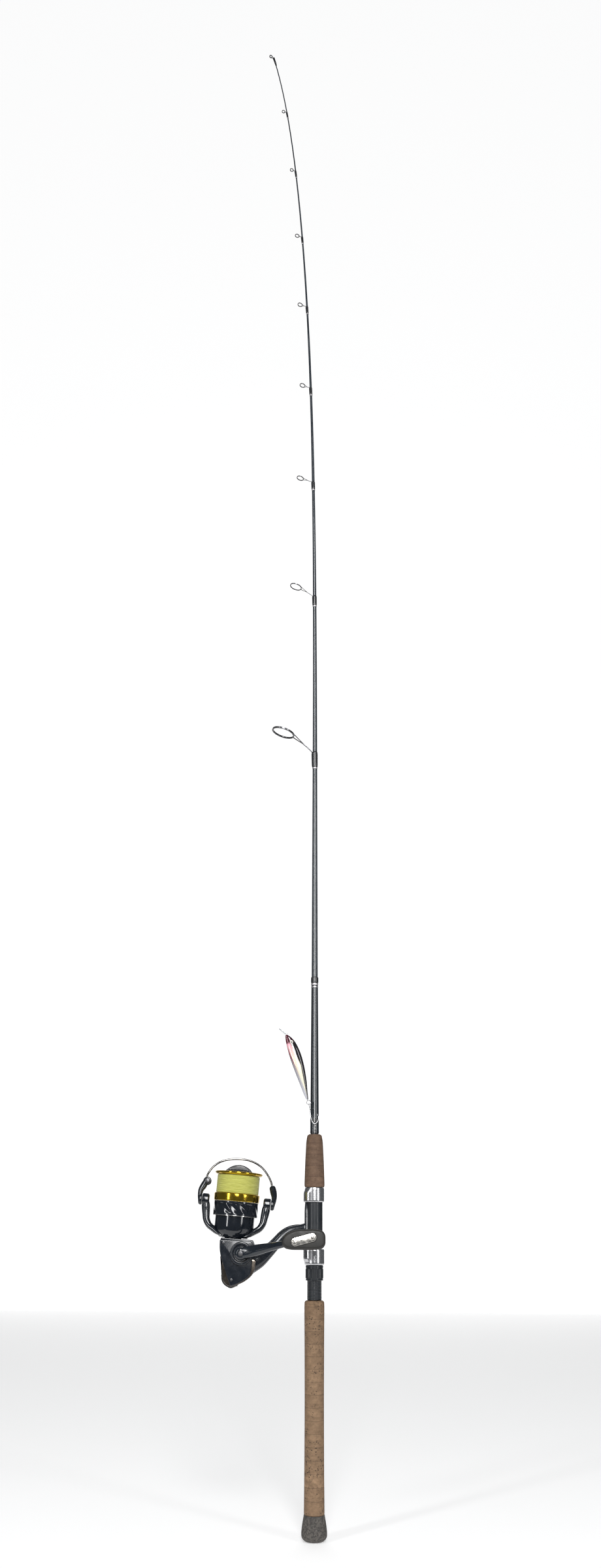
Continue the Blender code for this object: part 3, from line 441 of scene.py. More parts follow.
def hood(name, low, high, mouth_down, bore):
    """A hood as one closed shell: round outside with a swelling over the foot, and a pocket for its end."""
    sides = 96
    depth = high - low
    steps = 14
    outer_rows, inner_rows = [], []
    for step in range(steps + 1):
        z = low + depth * step / steps
        from_mouth = (z - low) if mouth_down else (high - z)
        lip = 0.5 * max(0.0, 1.0 - from_mouth / 0.7) ** 2
        end = depth - from_mouth
        lip += 0.5 * max(0.0, 1.0 - end / 0.7) ** 2
        outer, inner = [], []
        for k in range(sides):
            angle = math.tau * k / sides
            off = abs(angle - math.pi)
            near = 1.0 - eased_step(off, POCKET_ANGLE, POCKET_ANGLE + 0.55)
            over_foot = 1.0 - eased_step(from_mouth, 9.5, 15.0)
            swell = HOOD_RADIUS + 1.5 * near * over_foot - lip
            open_to = (FOOT_TOP + 0.4 - low) if mouth_down else (high - FOOT_BOTTOM + 0.4)
            pocket = from_mouth < open_to and off < POCKET_ANGLE
            outer.append((swell * math.cos(angle), swell * math.sin(angle), z))
            hole = FOOT_OUTER + 0.3 if pocket else bore
            inner.append((hole * math.cos(angle), hole * math.sin(angle), z))
        outer_rows.append(outer)
        inner_rows.append(inner)
    points, faces = skin(outer_rows + inner_rows[::-1] + [outer_rows[0]], ends=False)
    made = piece(name, points, faces, hood_metal, sharp=40.0)
    weld = made.modifiers.new("seam", "WELD")
    weld.merge_threshold = 0.000001
    return made


upper_hood = hood("upper_hood", UPPER_HOOD_BOTTOM, SEAT_TOP, True, SEAT_RADIUS + 0.25)
lower_hood = hood("lower_hood", LOWER_HOOD_BOTTOM, LOWER_HOOD_TOP, False, SEAT_RADIUS + 0.25)
for made, cad_name, body in ((upper_hood, "fixed_hood", "root"), (lower_hood, "moving_hood", "hood")):
    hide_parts(cad_name)
    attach(made, body)

nut_ribs = 30
nut_rows = []
nut_heights = [NUT_TOP, NUT_TOP - 0.5, NUT_TOP - 2.6, NUT_TOP - 2.9, NUT_TOP - 3.6, NUT_TOP - 3.9,
               NUT_BOTTOM + 2.6, NUT_BOTTOM + 2.3, NUT_BOTTOM + 1.6, NUT_BOTTOM + 1.3, NUT_BOTTOM + 0.5, NUT_BOTTOM]
nut_radii = [9.7, 10.2, 10.2, 9.8, 9.8, 10.25, 10.25, 9.8, 9.8, 10.1, 10.1, 9.6]
for z, radius in zip(nut_heights, nut_radii):
    row = []
    for k in range(nut_ribs * 4):
        ribbed = radius > 10.2
        dip = 0.35 * (0.5 - 0.5 * math.cos(math.tau * k / 4)) if ribbed else 0.0
        angle = math.tau * k / (nut_ribs * 4)
        row.append(((radius - dip) * math.cos(angle), (radius - dip) * math.sin(angle), z))
    nut_rows.append(row)
bore_rows = [[(x * 8.85 / math.hypot(x, y), y * 8.85 / math.hypot(x, y), z) for x, y, _ in nut_rows[0]]
             for z in (NUT_BOTTOM, NUT_TOP)]
points, faces = skin(nut_rows + bore_rows + [nut_rows[0]], ends=False)
nut = piece("ribbed_nut", points, [face[::-1] for face in faces], seat_nylon, sharp=30.0)
nut.modifiers.new("seam", "WELD").merge_threshold = 0.000001
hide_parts("locking_nut")
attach(nut, "nut")

# ---------------------------------------------------------------------------------------------------------
# Butt windings. Above the fore grip the blank is built up under clear gloss, with a fine metallic line in it,
# and ends in a winding of black thread edged with two silver turns.
# ---------------------------------------------------------------------------------------------------------
TRIM_BOTTOM = 599.5
TRIM_TOP = 607.5

thread_black = finish("thread_black", (0.010, 0.011, 0.013), 0.30, coat=1.0)
relief(thread_black, rings(thread_black, 0.28), 0.05, 0.35)
smudged(thread_black, 0.22, 0.38)
thread_silver = finish("thread_silver", (0.66, 0.63, 0.64), 0.25, metallic=0.8, coat=1.0)
relief(thread_silver, rings(thread_silver, 0.28), 0.05, 0.5)
paint(thread_silver, blended(thread_silver, noise(thread_silver, 400.0), (0.55, 0.50, 0.52), (0.80, 0.78,
    0.80)))
gloss_sleeve = finish("gloss_sleeve", (0.014, 0.018, 0.022), 0.12, coat=1.0)
paint(gloss_sleeve, blended(gloss_sleeve, noise(gloss_sleeve, 250.0, (1, 1, 0.2)), (0.010, 0.013, 0.017),
                            (0.026, 0.032, 0.038)))
smudged(gloss_sleeve, 0.07, 0.18, 50.0)


def winding(name, low, high, build, made, foot=0.0, place=None, sides=40, base=None):
    """Thread and resin over the blank from low to high, with tapered ends and a swelling over a guide's foot."""
    rows = []
    steps = 16
    for step in range(steps + 1):
        share = step / steps
        z = low + (high - low) * share
        rise = min(1.0, min(share, 1.0 - share) * 5.0)
        rise = math.sqrt(1.0 - (1.0 - rise) ** 2)
        row = []
        for k in range(sides):
            angle = math.tau * k / sides
            swell = foot * math.exp(-((angle - math.pi) / 0.6) ** 2) * (0.35 + 0.65 * share)
            radius = (base or blank_radius)(z) + 0.03 + rise * (build + swell)
            row.append((radius * math.cos(angle), radius * math.sin(angle), z))
        rows.append(row)
    points, faces = skin(rows)
    return piece(name, points, faces, made, place, sharp=70.0)


trim = winding("trim_winding", TRIM_BOTTOM, TRIM_TOP, 0.75, thread_black)
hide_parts("winding_trim")
pieces = [trim]
pieces.append(winding("trim_line_low", TRIM_BOTTOM - 2.4, TRIM_BOTTOM - 0.2, 0.65, thread_silver))
pieces.append(winding("trim_line_mid", TRIM_BOTTOM - 5.6, TRIM_BOTTOM - 4.2, 0.55, thread_silver))
sleeve_low, sleeve_high = 418.0, 598.0
sleeve_rows = [sleeve_low + (sleeve_high - sleeve_low) * i / 40 for i in range(41)]
pieces.append(swept(
    "butt_gloss",
    [(0.0, 0.0, z, blank_radius(z) + 0.85 - 0.6 * i / 40, blank_radius(z) + 0.85 - 0.6 * i / 40)
     for i, z in enumerate(sleeve_rows)], gloss_sleeve, sides=48, domed=False))
rose_line = finish("rose_metallic", (0.42, 0.28, 0.29), 0.3, metallic=0.7, coat=1.0)
paint(rose_line, blended(rose_line, noise(rose_line, 500.0), (0.30, 0.19, 0.20), (0.52, 0.38, 0.38)))
pieces.append(winding("rose_line", 462.9, 464.6, 0.62, rose_line))
for made in pieces:
    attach(made, "root")

# ---------------------------------------------------------------------------------------------------------
# Hook keeper. A small loop of stainless wire whose two ends are bound down with thread, just above the grip.
# ---------------------------------------------------------------------------------------------------------
bright_wire = finish("bright_wire", (0.70, 0.69, 0.67), 0.14, metallic=1.0)
paint(bright_wire, blended(bright_wire, noise(bright_wire, 300.0), (0.58, 0.57, 0.55), (0.78, 0.77, 0.75)))
smudged(bright_wire, 0.10, 0.24)
keeper_out = -(blank_radius(425.0) + 0.35)
keeper_route = [(0.0, keeper_out - 0.5, 434.0), (0.0, keeper_out - 0.6, 430.5), (0.2, keeper_out - 2.8,
    428.4),
                (0.9, keeper_out - 3.4, 425.5), (1.0, keeper_out - 2.6, 422.6), (0.4, keeper_out - 0.8,
                    421.0),
                (0.2, keeper_out - 0.6, 418.3)]
keeper = swept(
    "keeper_loop", eased([(*spot, 0.42, 0.42) for spot in keeper_route], 8), bright_wire, sides=12,
    across=(1.0, 0.0, 0.0))
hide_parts("hook_keeper")
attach(keeper, "root")
for number, (low, high) in enumerate(((429.6, 434.6), (417.4, 421.4)), 1):
    bind = winding(f"keeper_winding_{number}", low, high, 0.85, thread_black)
    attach(bind, "root")

# ---------------------------------------------------------------------------------------------------------
# Guides. Eight single-foot guides of stamped, smoked stainless steel, each with a black ceramic ring pressed
# in. Two legs run from the ring to one foot, which lies on the blank under a thread winding with a silver edge.
# ---------------------------------------------------------------------------------------------------------
GUIDES = (
    (917.0, 32.0, 43.4, 29.0, 22.0),
    (1162.0, 17.5, 27.0, 15.5, 15.0),
    (1360.0, 11.0, 19.5, 7.0, 13.0),
    (1537.0, 9.2, 12.8, 5.0, 13.0),
    (1701.0, 8.4, 11.0, 4.2, 14.0),
    (1850.5, 7.5, 8.2, 3.2, 13.0),
    (2001.0, 6.4, 6.4, 2.6, 14.0),
    (2142.0, 6.0, 5.6, 2.2, 13.0),
)
RING_LEAN = math.radians(17.0)

smoked_steel = finish("smoked_steel", (0.16, 0.16, 0.17), 0.24, metallic=1.0)
paint(smoked_steel, blended(smoked_steel, noise(smoked_steel, 400.0), (0.11, 0.11, 0.12), (0.24, 0.24,
    0.25)))
smudged(smoked_steel, 0.16, 0.34, 300.0)
ceramic = finish("black_ceramic", (0.030, 0.031, 0.033), 0.12, coat=0.6)
paint(ceramic, blended(ceramic, noise(ceramic, 500.0), (0.022, 0.023, 0.025), (0.045, 0.046, 0.05)))
smudged(ceramic, 0.08, 0.18, 200.0)


def ring_band(name, outer, inner, height, made, place, segments=64):
    """A ring with rounded edges about Z."""
    half = height / 2.0
    soft = min(outer - inner, height) * 0.35
    outline = rounded([(outer, half), (outer, -half), (inner, -half), (inner, half)], soft, steps=4)
    return lathe(name, outline, made, place, segments, sharp=60.0)


for number, (foot_z, diameter, reach, rise, foot_length) in enumerate(GUIDES, 1):
    at = station(foot_z)
    outer = diameter / 2.0
    thick = max(0.5, outer * 0.055)
    height = max(1.2, outer * 0.14)
    leg = max(0.42, outer * 0.050)
    ring_place = at @ Matrix.Translation((-reach * MM, 0.0, rise * MM)) @ Matrix.Rotation(RING_LEAN, 4, "Y")
    band = ring_band(f"guide_{number}_band", outer, outer - thick, height, smoked_steel, ring_place)
    insert_depth = max(0.55, outer * 0.07)
    insert_outer = outer - thick + 0.02
    ring = lathe(
        f"guide_{number}_ceramic",
        rounded([(insert_outer, height * 0.42), (insert_outer, -height * 0.42),
                 (insert_outer - insert_depth * 0.6, -height * 0.62), (insert_outer - insert_depth * 1.3,
                     -height * 0.2),
                 (insert_outer - insert_depth * 1.3, height * 0.2), (insert_outer - insert_depth * 0.6,
                                                                     height * 0.62)],
                insert_depth * 0.4), ceramic, ring_place, 64, 60.0)
    seat_low = -(blank_radius(foot_z - foot_length) + leg * 0.55)
    seat_high = -(blank_radius(foot_z) + leg * 0.8)
    side = outer * 0.42
    back = math.sqrt(outer**2 - side**2) - thick * 0.5
    grip_x = -reach + back * math.cos(RING_LEAN)
    grip_z = rise - back * math.sin(RING_LEAN) - height * 0.1
    fork = (seat_high - (reach - outer) * 0.45, rise * 0.42)
    legs = []
    for sign, label in ((1.0, "left"), (-1.0, "right")):
        small = leg * 0.25 * sign
        route = [(fork[0] + leg, small, fork[1] - leg * 0.6, leg * 0.9, leg * 0.8),
                 (fork[0], small * 1.4, fork[1] + 0.2, leg * 0.9, leg * 0.8),
                 ((fork[0] + grip_x) / 2.0, sign * side * 0.55, (fork[1] + grip_z) / 2.0, leg * 0.85,
                  leg * 0.75),
                 (grip_x, sign * side, grip_z, leg * 1.1, leg * 0.9)]
        legs.append(swept(f"guide_{number}_{label}_leg", eased(route, 6), smoked_steel, at, 14, 2.6))
    foot_route = [(seat_low, 0.0, -foot_length + 0.6, leg * 1.2, leg * 0.35),
                  ((seat_low + seat_high) / 2.0, 0.0, -foot_length * 0.5, leg * 1.9, leg * 0.5),
                  (seat_high, 0.0, -1.6, leg * 1.7, leg * 0.7),
                  (seat_high - leg * 0.9, 0.0, 0.6, leg * 1.25, leg * 0.9),
                  ((seat_high + fork[0]) / 2.0, 0.0, fork[1] * 0.52, leg * 1.15, leg * 0.85),
                  (fork[0] - leg, 0.0, fork[1] + leg * 0.7, leg * 1.15, leg * 0.8)]
    foot = swept(f"guide_{number}_foot", eased(foot_route, 6), smoked_steel, at, 16, 2.6)
    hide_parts(f"guide_frame_{number}")
    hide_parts(f"guide_ring_{number}")
    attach(ring, "root")
    for made in (band, foot, *legs):
        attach(made, "root")

    def local_radius(z, base_z=foot_z):
        return blank_radius(base_z + z)

    black = winding(
        f"guide_{number}_winding", -foot_length - 1.0, 0.4, 0.32 + 0.02 * outer, thread_black, leg * 1.1 + 0.1, at,
        base=local_radius)
    silver = winding(
        f"guide_{number}_silver_edge", -foot_length - 2.8 - 0.02 * outer, -foot_length - 1.1, 0.30, thread_silver,
        0.0, at, base=local_radius)
    for made in (black, silver):
        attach(made, "root")

# ---------------------------------------------------------------------------------------------------------
# Tip-top. A tube glued over the end of the blank, with a small ring on two wire struts.
# ---------------------------------------------------------------------------------------------------------
tip_z = BLANK_LENGTH - 2.0
tip_place = station(tip_z)
tip_bore = blank_radius(tip_z - 16.0)
tip_tube = lathe(
    "tip_tube",
    rounded([(tip_bore - 0.1, -0.3), (tip_bore + 0.65, -0.9), (tip_bore + 0.7, -16.0), (tip_bore + 0.05,
        -16.2)],
            [0.1, 0.4, 0.3, 0.1]) , smoked_steel, tip_place, 32)
tip_ring_place = tip_place @ Matrix.Translation((-4.2 * MM, 0.0,
                                                 4.0 * MM)) @ Matrix.Rotation(math.radians(28.0), 4, "Y")
tip_band = ring_band("tip_band", 3.0, 2.4, 1.2, smoked_steel, tip_ring_place, 40)
tip_ceramic = ring_band("tip_ceramic", 2.42, 1.6, 1.3, ceramic, tip_ring_place, 40)
tip_pieces = [tip_tube, tip_band]
for sign, label in ((1.0, "left"), (-1.0, "right")):
    route = [(-0.9, sign * 1.0, -10.0, 0.4, 0.4), (-1.3, sign * 1.1, -4.0, 0.4, 0.4),
             (-1.5, sign * 1.3, -0.6, 0.4, 0.4), (-2.5, sign * 2.3, 2.8, 0.4, 0.4)]
    tip_pieces.append(swept(f"tip_{label}_strut", eased(route, 6), smoked_steel, tip_place, 10))
tip_gloss = winding("tip_winding", -21.0, -15.2, 0.45, thread_black, 0.0, tip_place, 24,
                    lambda z: blank_radius(tip_z + z))
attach(tip_gloss, "root")
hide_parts("tip_top_frame")
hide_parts("tip_top_ring")
for made in tip_pieces:
    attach(made, "root")
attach(tip_ceramic, "root")

# ---------------------------------------------------------------------------------------------------------
# Reel body. One aluminium casting: a narrow gear housing, a curved stem, and a foot that the hoods hold. It is
# open on the crank side, painted gloss black with a blue tint, and its stem swells where it leaves the housing.
# ---------------------------------------------------------------------------------------------------------
REEL_AT = (-96.1, 0.0, 284.0)
REEL_LEAN = math.radians(4.25)
BODY_OUTLINE = [
    (-13.4, 16.2), (-13.3, 4.0), (-11.0, -3.0), (-9.2, -8.0), (-7.0, -28.0), (-4.0, -32.4), (3.0, -35.6),
    (10.4, -32.6), (18.8, -28.2), (25.4, -22.4), (29.4, -15.4), (30.0, -5.0), (28.4, 4.0), (26.4, 11.0),
    (23.6, 16.2),
]
BODY_HALF_DEPTH = 15.0
FOOT_INNER = 9.85

reel = Matrix.Translation(Vector(REEL_AT) * MM) @ Matrix.Rotation(REEL_LEAN, 4, "Y")


def inset(outline, amount):
    """A clockwise or anticlockwise outline with every point moved inward along its corner's normal."""
    area = sum(a[0] * b[1] - b[0] * a[1] for a, b in zip(outline, outline[1:] + outline[:1]))
    turn = math.copysign(1.0, area)
    moved = []
    for i, spot in enumerate(outline):
        before, here, after = Vector(outline[i - 1]), Vector(spot), Vector(outline[(i + 1) % len(outline)])
        one, two = (here - before).normalized(), (after - here).normalized()
        normal = Vector((-one.y - two.y, one.x + two.x)).normalized() * turn
        spread = max(0.6, normal.dot(Vector((-one.y, one.x)) * turn))
        moved.append(tuple(here + normal * (amount / spread)))
    return moved


def slab(name, outline, low, high, made, place, soft_low=0.5, soft_high=0.5, steps=4, sharp=35.0):
    """A plate whose outline lies in X and Z, from low to high along Y, with rounded edges on its two faces."""
    rows = []
    for face, way, soft in ((low, 1.0, soft_low), (high, -1.0, soft_high)):
        edge = []
        for k in range(steps + 1):
            angle = math.pi / 2.0 * k / steps
            y = face + way * soft * (1.0 - math.cos(angle))
            edge.append([(x, y, z) for x, z in inset(outline, soft * (1.0 - math.sin(angle)))])
        rows += edge if way > 0 else edge[::-1]
    points, faces = skin(rows)
    return piece(name, points, faces, made, place, sharp)


def turned_on(name, profile, made, place, spot, segments=64, sharp=35.0):
    """A turned piece whose axis lies along Y through spot (x, z). Heights in its profile run towards +Y."""
    at = place @ Matrix.Translation((spot[0] * MM, 0.0, spot[1] * MM)) @ Matrix.Rotation(math.radians(-90),
        4, "X")
    return lathe(name, profile, made, at, segments, sharp)


gloss_black = finish("reel_gloss_black", (0.007, 0.010, 0.015), 0.24, coat=0.35)
paint(gloss_black, blended(gloss_black, noise(gloss_black, 160.0), (0.005, 0.007, 0.011), (0.011, 0.015,
    0.022)))
smudged(gloss_black, 0.14, 0.30, 140.0)

body_pieces = [slab(
    "reel_housing", rounded(BODY_OUTLINE, [1.5, 5, 8, 8, 5, 4, 4, 5, 6, 6, 8, 8, 8, 6, 1.5], steps=6),
    -BODY_HALF_DEPTH, BODY_HALF_DEPTH, gloss_black, reel, 0.3, 2.6)]
stem_route = [
    (22.0, 0.0, -9.0, 10.5, 11.5), (32.0, 0.0, -2.5, 9.4, 10.4), (41.0, 0.0, 4.5, 7.4, 7.6), (50.0, 0.0,
        14.0, 6.0, 6.0),
    (57.0, 0.0, 22.5, 5.2, 5.2), (63.0, 0.0, 28.0, 4.9, 4.6), (69.0, 0.0, 31.0, 4.9, 4.4), (76.0, 0.0,
        32.6, 5.4, 4.7),
    (82.6, 0.0, 33.3, 6.0, 6.2),
]
body_pieces.append(swept("reel_stem", eased(stem_route, 6), gloss_black, reel, 36, 2.6))
rib_route = [
    (30.0, 0.0, 5.4, 1.6, 1.0), (40.0, 0.0, 12.4, 1.8, 1.1), (47.0, 0.0, 19.3, 1.8, 1.1), (54.0, 0.0,
        27.0, 1.8, 1.1),
    (61.0, 0.0, 32.2, 1.8, 1.1), (69.0, 0.0, 35.4, 1.8, 1.1), (78.0, 0.0, 37.0, 1.6, 1.0),
]
body_pieces.append(swept("stem_rib", eased(rib_route, 6), gloss_black, reel, 20, 2.0))

foot_rows = []
foot_steps = 40
for step in range(foot_steps + 1):
    share = step / foot_steps
    z = FOOT_BOTTOM + (FOOT_TOP - FOOT_BOTTOM) * share
    end = min(share, 1.0 - share)
    outer = FOOT_INNER + 2.05 * (0.45 + 0.55 * eased_step(end, 0.02, 0.30))
    narrow = 1.0 - 0.5 * (1.0 - min(1.0, end / 0.05)) ** 2
    half = math.radians(36.0) * narrow * (0.72 + 0.28 * eased_step(end, 0.05, 0.35))
    row = []
    for radius, sweep in ((outer, 1.0), (FOOT_INNER, -1.0)):
        for k in range(9):
            angle = math.pi + half * sweep * (1.0 - k / 4.0) * (0.93 if radius == outer else 1.0)
            row.append((radius * math.cos(angle), radius * math.sin(angle), z))
    foot_rows.append(row)
body_pieces.append(piece("reel_foot", *skin(foot_rows), gloss_black, sharp=50.0))
body_pieces.append(lathe(
    "rotor_collar", [(0.0, 20.5), (8.6, 20.5), (10.0, 19.4), (10.0, 12.0), (0.0, 12.0)], gloss_black, reel))
body_pieces.append(slab(
    "far_panel", rounded(inset(BODY_OUTLINE, 2.6), 6.0,
        steps=6), BODY_HALF_DEPTH - 0.6, BODY_HALF_DEPTH + 1.3,
    gloss_black, reel, 0.2, 1.0))
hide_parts("reel_body")
for made in body_pieces:
    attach(made, "root")

# ---------------------------------------------------------------------------------------------------------
# Side cover and trim. A thin cast cover screws on over the gears. Its raised panel carries the axle boss, and
# its lower edge is plated a smoked bronze. A bent plated guard wraps the back of the housing.
# ---------------------------------------------------------------------------------------------------------
AXLE_X = 11.6
AXLE_Z = 1.1

bronze = finish("smoked_bronze", (0.20, 0.165, 0.135), 0.18, metallic=1.0)
paint(bronze, blended(bronze, noise(bronze, 120.0), (0.13, 0.11, 0.095), (0.30, 0.255, 0.21)))
smudged(bronze, 0.12, 0.26)
guard_chrome = finish("guard_chrome", (0.75, 0.74, 0.72), 0.12, metallic=1.0)
paint(guard_chrome, blended(guard_chrome, noise(guard_chrome, 150.0), (0.62, 0.61, 0.59), (0.84, 0.83,
    0.81)))
smudged(guard_chrome, 0.08, 0.20)
satin_black = finish("satin_black", (0.010, 0.013, 0.018), 0.36, coat=0.2)
paint(satin_black, blended(satin_black, noise(satin_black, 220.0), (0.008, 0.010, 0.014), (0.016, 0.020,
    0.027)))
relief(satin_black, noise(satin_black, 3000.0), 0.02, 0.4)

cover_base = slab(
    "cover_edge", rounded(BODY_OUTLINE, [1.5, 5, 8, 8, 5, 4, 4, 5, 6, 6, 8, 8, 8, 6, 1.5], steps=6),
    -16.3, -BODY_HALF_DEPTH - 0.35, gloss_black, reel, 0.8, 0.15)
lower_trim = slab(
    "cover_lower_trim",
    rounded([(-10.4, -4.6), (-8.9, -8.4), (-6.7, -27.8), (-3.8, -32.0), (3.0, -35.2), (10.2, -32.2),
             (18.5, -27.8),
             (25.0, -22.2), (29.0, -15.3), (29.5, -5.0), (20.0, -3.0)], [2, 6, 4, 4, 5, 6, 6, 8, 8, 3,
                 4], steps=5),
    -16.75, -16.1, bronze, reel, 0.4, 0.1)
panel_outline = [
    (-14.2, 14.0), (-13.6, 4.2), (-11.0, -5.0), (-7.2, -13.0), (-1.6, -25.6), (2.6, -34.4), (6.6, -33.2),
    (11.0, -31.2), (18.4, -26.8), (24.0, -21.6), (25.2, -16.0), (25.2, -3.0), (25.6, 4.0), (25.0, 10.6),
    (23.0, 14.8),
]
cover_panel = slab(
    "cover_panel", rounded(panel_outline, [1.5, 5, 6, 6, 5, 1.6, 2, 4, 5, 4, 5, 6, 5, 4, 2],
                           steps=6), -17.6, -16.0,
    gloss_black, reel, 1.1, 0.2)
boss = turned_on(
    "axle_boss",
    rounded([(4.6, -15.8), (12.6, -15.8), (12.6, -20.9), (11.8, -21.5), (9.4, -21.5), (8.6, -20.7), (4.6,
        -20.7)],
            [0, 0, 0.8, 0.6, 0.4, 0.4, 0.2], steps=4), gloss_black, reel, (AXLE_X, AXLE_Z), 96)
screws = []
steel_screw = finish("cover_screw", (0.12, 0.12, 0.125), 0.30, metallic=1.0)
paint(steel_screw, blended(steel_screw, noise(steel_screw, 600.0), (0.09, 0.09, 0.095), (0.15, 0.15,
    0.155)))
for number, spot in enumerate(((-9.6, 11.0), (22.6, 8.4), (3.4, -27.4)), 1):
    screws.append(turned_on(
        f"cover_screw_{number}",
        rounded([(0.0, -18.7), (1.6, -18.7), (1.6, -17.4), (0.0, -17.4)], [0, 0.35, 0, 0], closed=False)
        , steel_screw, reel, spot, 28))
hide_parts("side_cover")
for made in (cover_base, lower_trim, cover_panel, boss, *screws):
    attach(made, "root")

guard_out = inset(BODY_OUTLINE, -1.45)[2:8]
guard_in = inset(BODY_OUTLINE, -0.35)[2:8]
guard = slab(
    "rear_guard_plate", rounded(guard_out + guard_in[::-1], [0.3, 3, 3, 3, 3, 0.3, 0.3, 3, 3, 3, 3, 0.3],
                                steps=5),
    -14.2, 14.2, guard_chrome, reel, 0.3, 0.3, 2)
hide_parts("rear_guard")
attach(guard, "root")

cap = turned_on(
    "far_axle_cap",
    rounded([(0.0, 18.2), (4.2, 18.2), (4.6, 19.0), (6.6, 18.6), (8.4, 17.0), (8.4, 15.35), (0.0, 15.35)],
            [0, 0.4, 0.6, 1.2, 1.2, 0.2, 0], closed=False), gloss_black, reel, (AXLE_X, AXLE_Z), 72)
cap_slot = slab(
    "axle_cap_slot", [(AXLE_X - 3.4, AXLE_Z - 0.5), (AXLE_X + 3.4, AXLE_Z - 0.5), (AXLE_X + 3.4,
        AXLE_Z + 0.5),
                      (AXLE_X - 3.4, AXLE_Z + 0.5)], 18.1, 18.6, satin_black, reel, 0.05, 0.1, 2)
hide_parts("axle_cap")
for made in (cap, cap_slot):
    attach(made, "root")

# ---------------------------------------------------------------------------------------------------------
# Gears and bearings. A crown gear on the hollow crank axle drives the bronze pinion, and a small gear drives the
# oscillating wheel that moves the slider and shaft. They keep their plain machined shapes, in brass and steel.
# ---------------------------------------------------------------------------------------------------------
machined_brass = finish("machined_brass", (0.62, 0.44, 0.18), 0.30, metallic=1.0)
paint(machined_brass, blended(machined_brass, noise(machined_brass, 250.0), (0.50, 0.34, 0.13), (0.72,
    0.54, 0.25)))
smudged(machined_brass, 0.22, 0.42, 300.0)
ground_steel = finish("ground_steel", (0.56, 0.56, 0.57), 0.28, metallic=1.0)
paint(ground_steel, blended(ground_steel, noise(ground_steel, 300.0), (0.46, 0.46, 0.47), (0.66, 0.66,
    0.66)))
relief(ground_steel, noise(ground_steel, 900.0, (0.2, 0.2, 3.0)), 0.01, 0.4)
washer_felt = finish("carbon_washers", (0.030, 0.030, 0.032), 0.7)
paint(washer_felt, blended(washer_felt, rings(washer_felt, 1.0), (0.020, 0.020, 0.022), (0.07, 0.07,
    0.075)))
inside = {
    "gear_brass": (machined_brass, ("drive_gear", "oscillating_gear", "pinion", "slider")),
    "bearing_steel": (ground_steel, (
        "axle_bearing_near", "axle_bearing_far", "pinion_bearing", "roller_clutch", "rotor_nut", "main_shaft")),
    "carbon_washer": (washer_felt, ("drag_washers",)),
}
for slot_name, (made, names) in inside.items():
    for name in names:
        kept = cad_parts[name]
        kept.data.materials.clear()
        kept.data.materials.append(made)

# ---------------------------------------------------------------------------------------------------------
# Rotor. A gloss black aluminium cup that turns round the spool, with two arms cast on a strap round its base.
# Each arm swells into a round boss that holds one end of the bail.
# ---------------------------------------------------------------------------------------------------------
PIVOT_Z = 56.0

rotor_paint = finish("rotor_gloss_black", (0.006, 0.008, 0.012), 0.18, coat=0.5)
paint(rotor_paint, blended(rotor_paint, noise(rotor_paint, 160.0), (0.004, 0.006, 0.009), (0.010, 0.013,
    0.019)))
smudged(rotor_paint, 0.08, 0.20, 140.0)

rotor_outline = rounded(
    [(21.8, 48.8), (23.2, 48.8), (23.2, 37.0), (23.0, 27.0), (21.2, 21.6), (16.6, 16.8), (15.0, 16.8),
     (18.6, 21.4), (20.8, 25.0), (20.9, 26.5), (4.1, 26.5), (4.1, 29.4), (21.8, 29.4)],
    [0.3, 0.5, 12, 8, 3, 1, 0.5, 2, 2, 0.2, 0.2, 0.2, 0.5], steps=5)
rotor_pieces = [lathe("rotor_cup", rotor_outline, rotor_paint, reel, 96)]
for sign, label in ((1.0, "rod_side"), (-1.0, "outer_side")):
    arm_route = [
        (12.8, 18.6, 14.0, 1.0), (16.2, 19.8, 13.6, 1.9), (20.2, 22.0, 12.2, 2.9), (24.6, 25.3, 10.2, 3.6),
        (29.7, 29.0, 8.4, 3.9), (33.1, 34.8, 7.0, 4.2), (34.4, 43.0, 6.4, 4.6), (35.2, 50.0, 6.2, 4.7),
        (36.2, 56.0, 5.6, 3.9),
    ]
    route = [(sign * u, 0.0, w, wide, thick) for u, w, wide, thick in arm_route]
    rotor_pieces.append(swept(f"rotor_arm_{label}", eased(route, 6), rotor_paint, reel, 32, 2.8))
    panel_route = [
        (29.4, 27.0, 3.6, 0.8), (33.6, 31.4, 4.2, 0.9), (36.6, 37.0, 4.2, 0.9), (38.4, 43.6, 3.8, 0.9),
        (39.6, 49.6, 3.2, 0.8),
    ]
    route = [(sign * u, 0.0, w, wide, thick) for u, w, wide, thick in panel_route]
    rotor_pieces.append(swept(f"arm_cover_{label}", eased(route, 6), satin_black, reel, 24, 3.2))
    low, high = (31.8, 40.4)
    boss_at = reel @ Matrix.Translation((0.0, 0.0, PIVOT_Z * MM)) @ Matrix.Rotation(math.radians(
        90 * sign), 4, "Y")
    rotor_pieces.append(lathe(
        f"rotor_boss_{label}",
        rounded([(0.0, high), (6.0, high), (7.0, high - 0.9), (7.0, low + 1.2), (5.4, low), (0.0, low)],
                [0, 0.6, 0.6, 1.0, 1.0, 0], closed=False), rotor_paint, boss_at, 56))
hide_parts("rotor")
for made in rotor_pieces:
    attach(made, "rotor_assembly")

# ---------------------------------------------------------------------------------------------------------
# Bail. Two glossy levers turn on the rotor's bosses and carry a bent stainless wire over the spool. On the outer
# lever the wire ends in a gloss black cap, and a hard line roller turns between that cap and the lever's eye.
# ---------------------------------------------------------------------------------------------------------
BAIL_LEAN = math.tan(math.radians(25.0))
ROLLER_UP = 21.0
ROLLER_X = -37.0
ROLLER_Y = ROLLER_UP * BAIL_LEAN

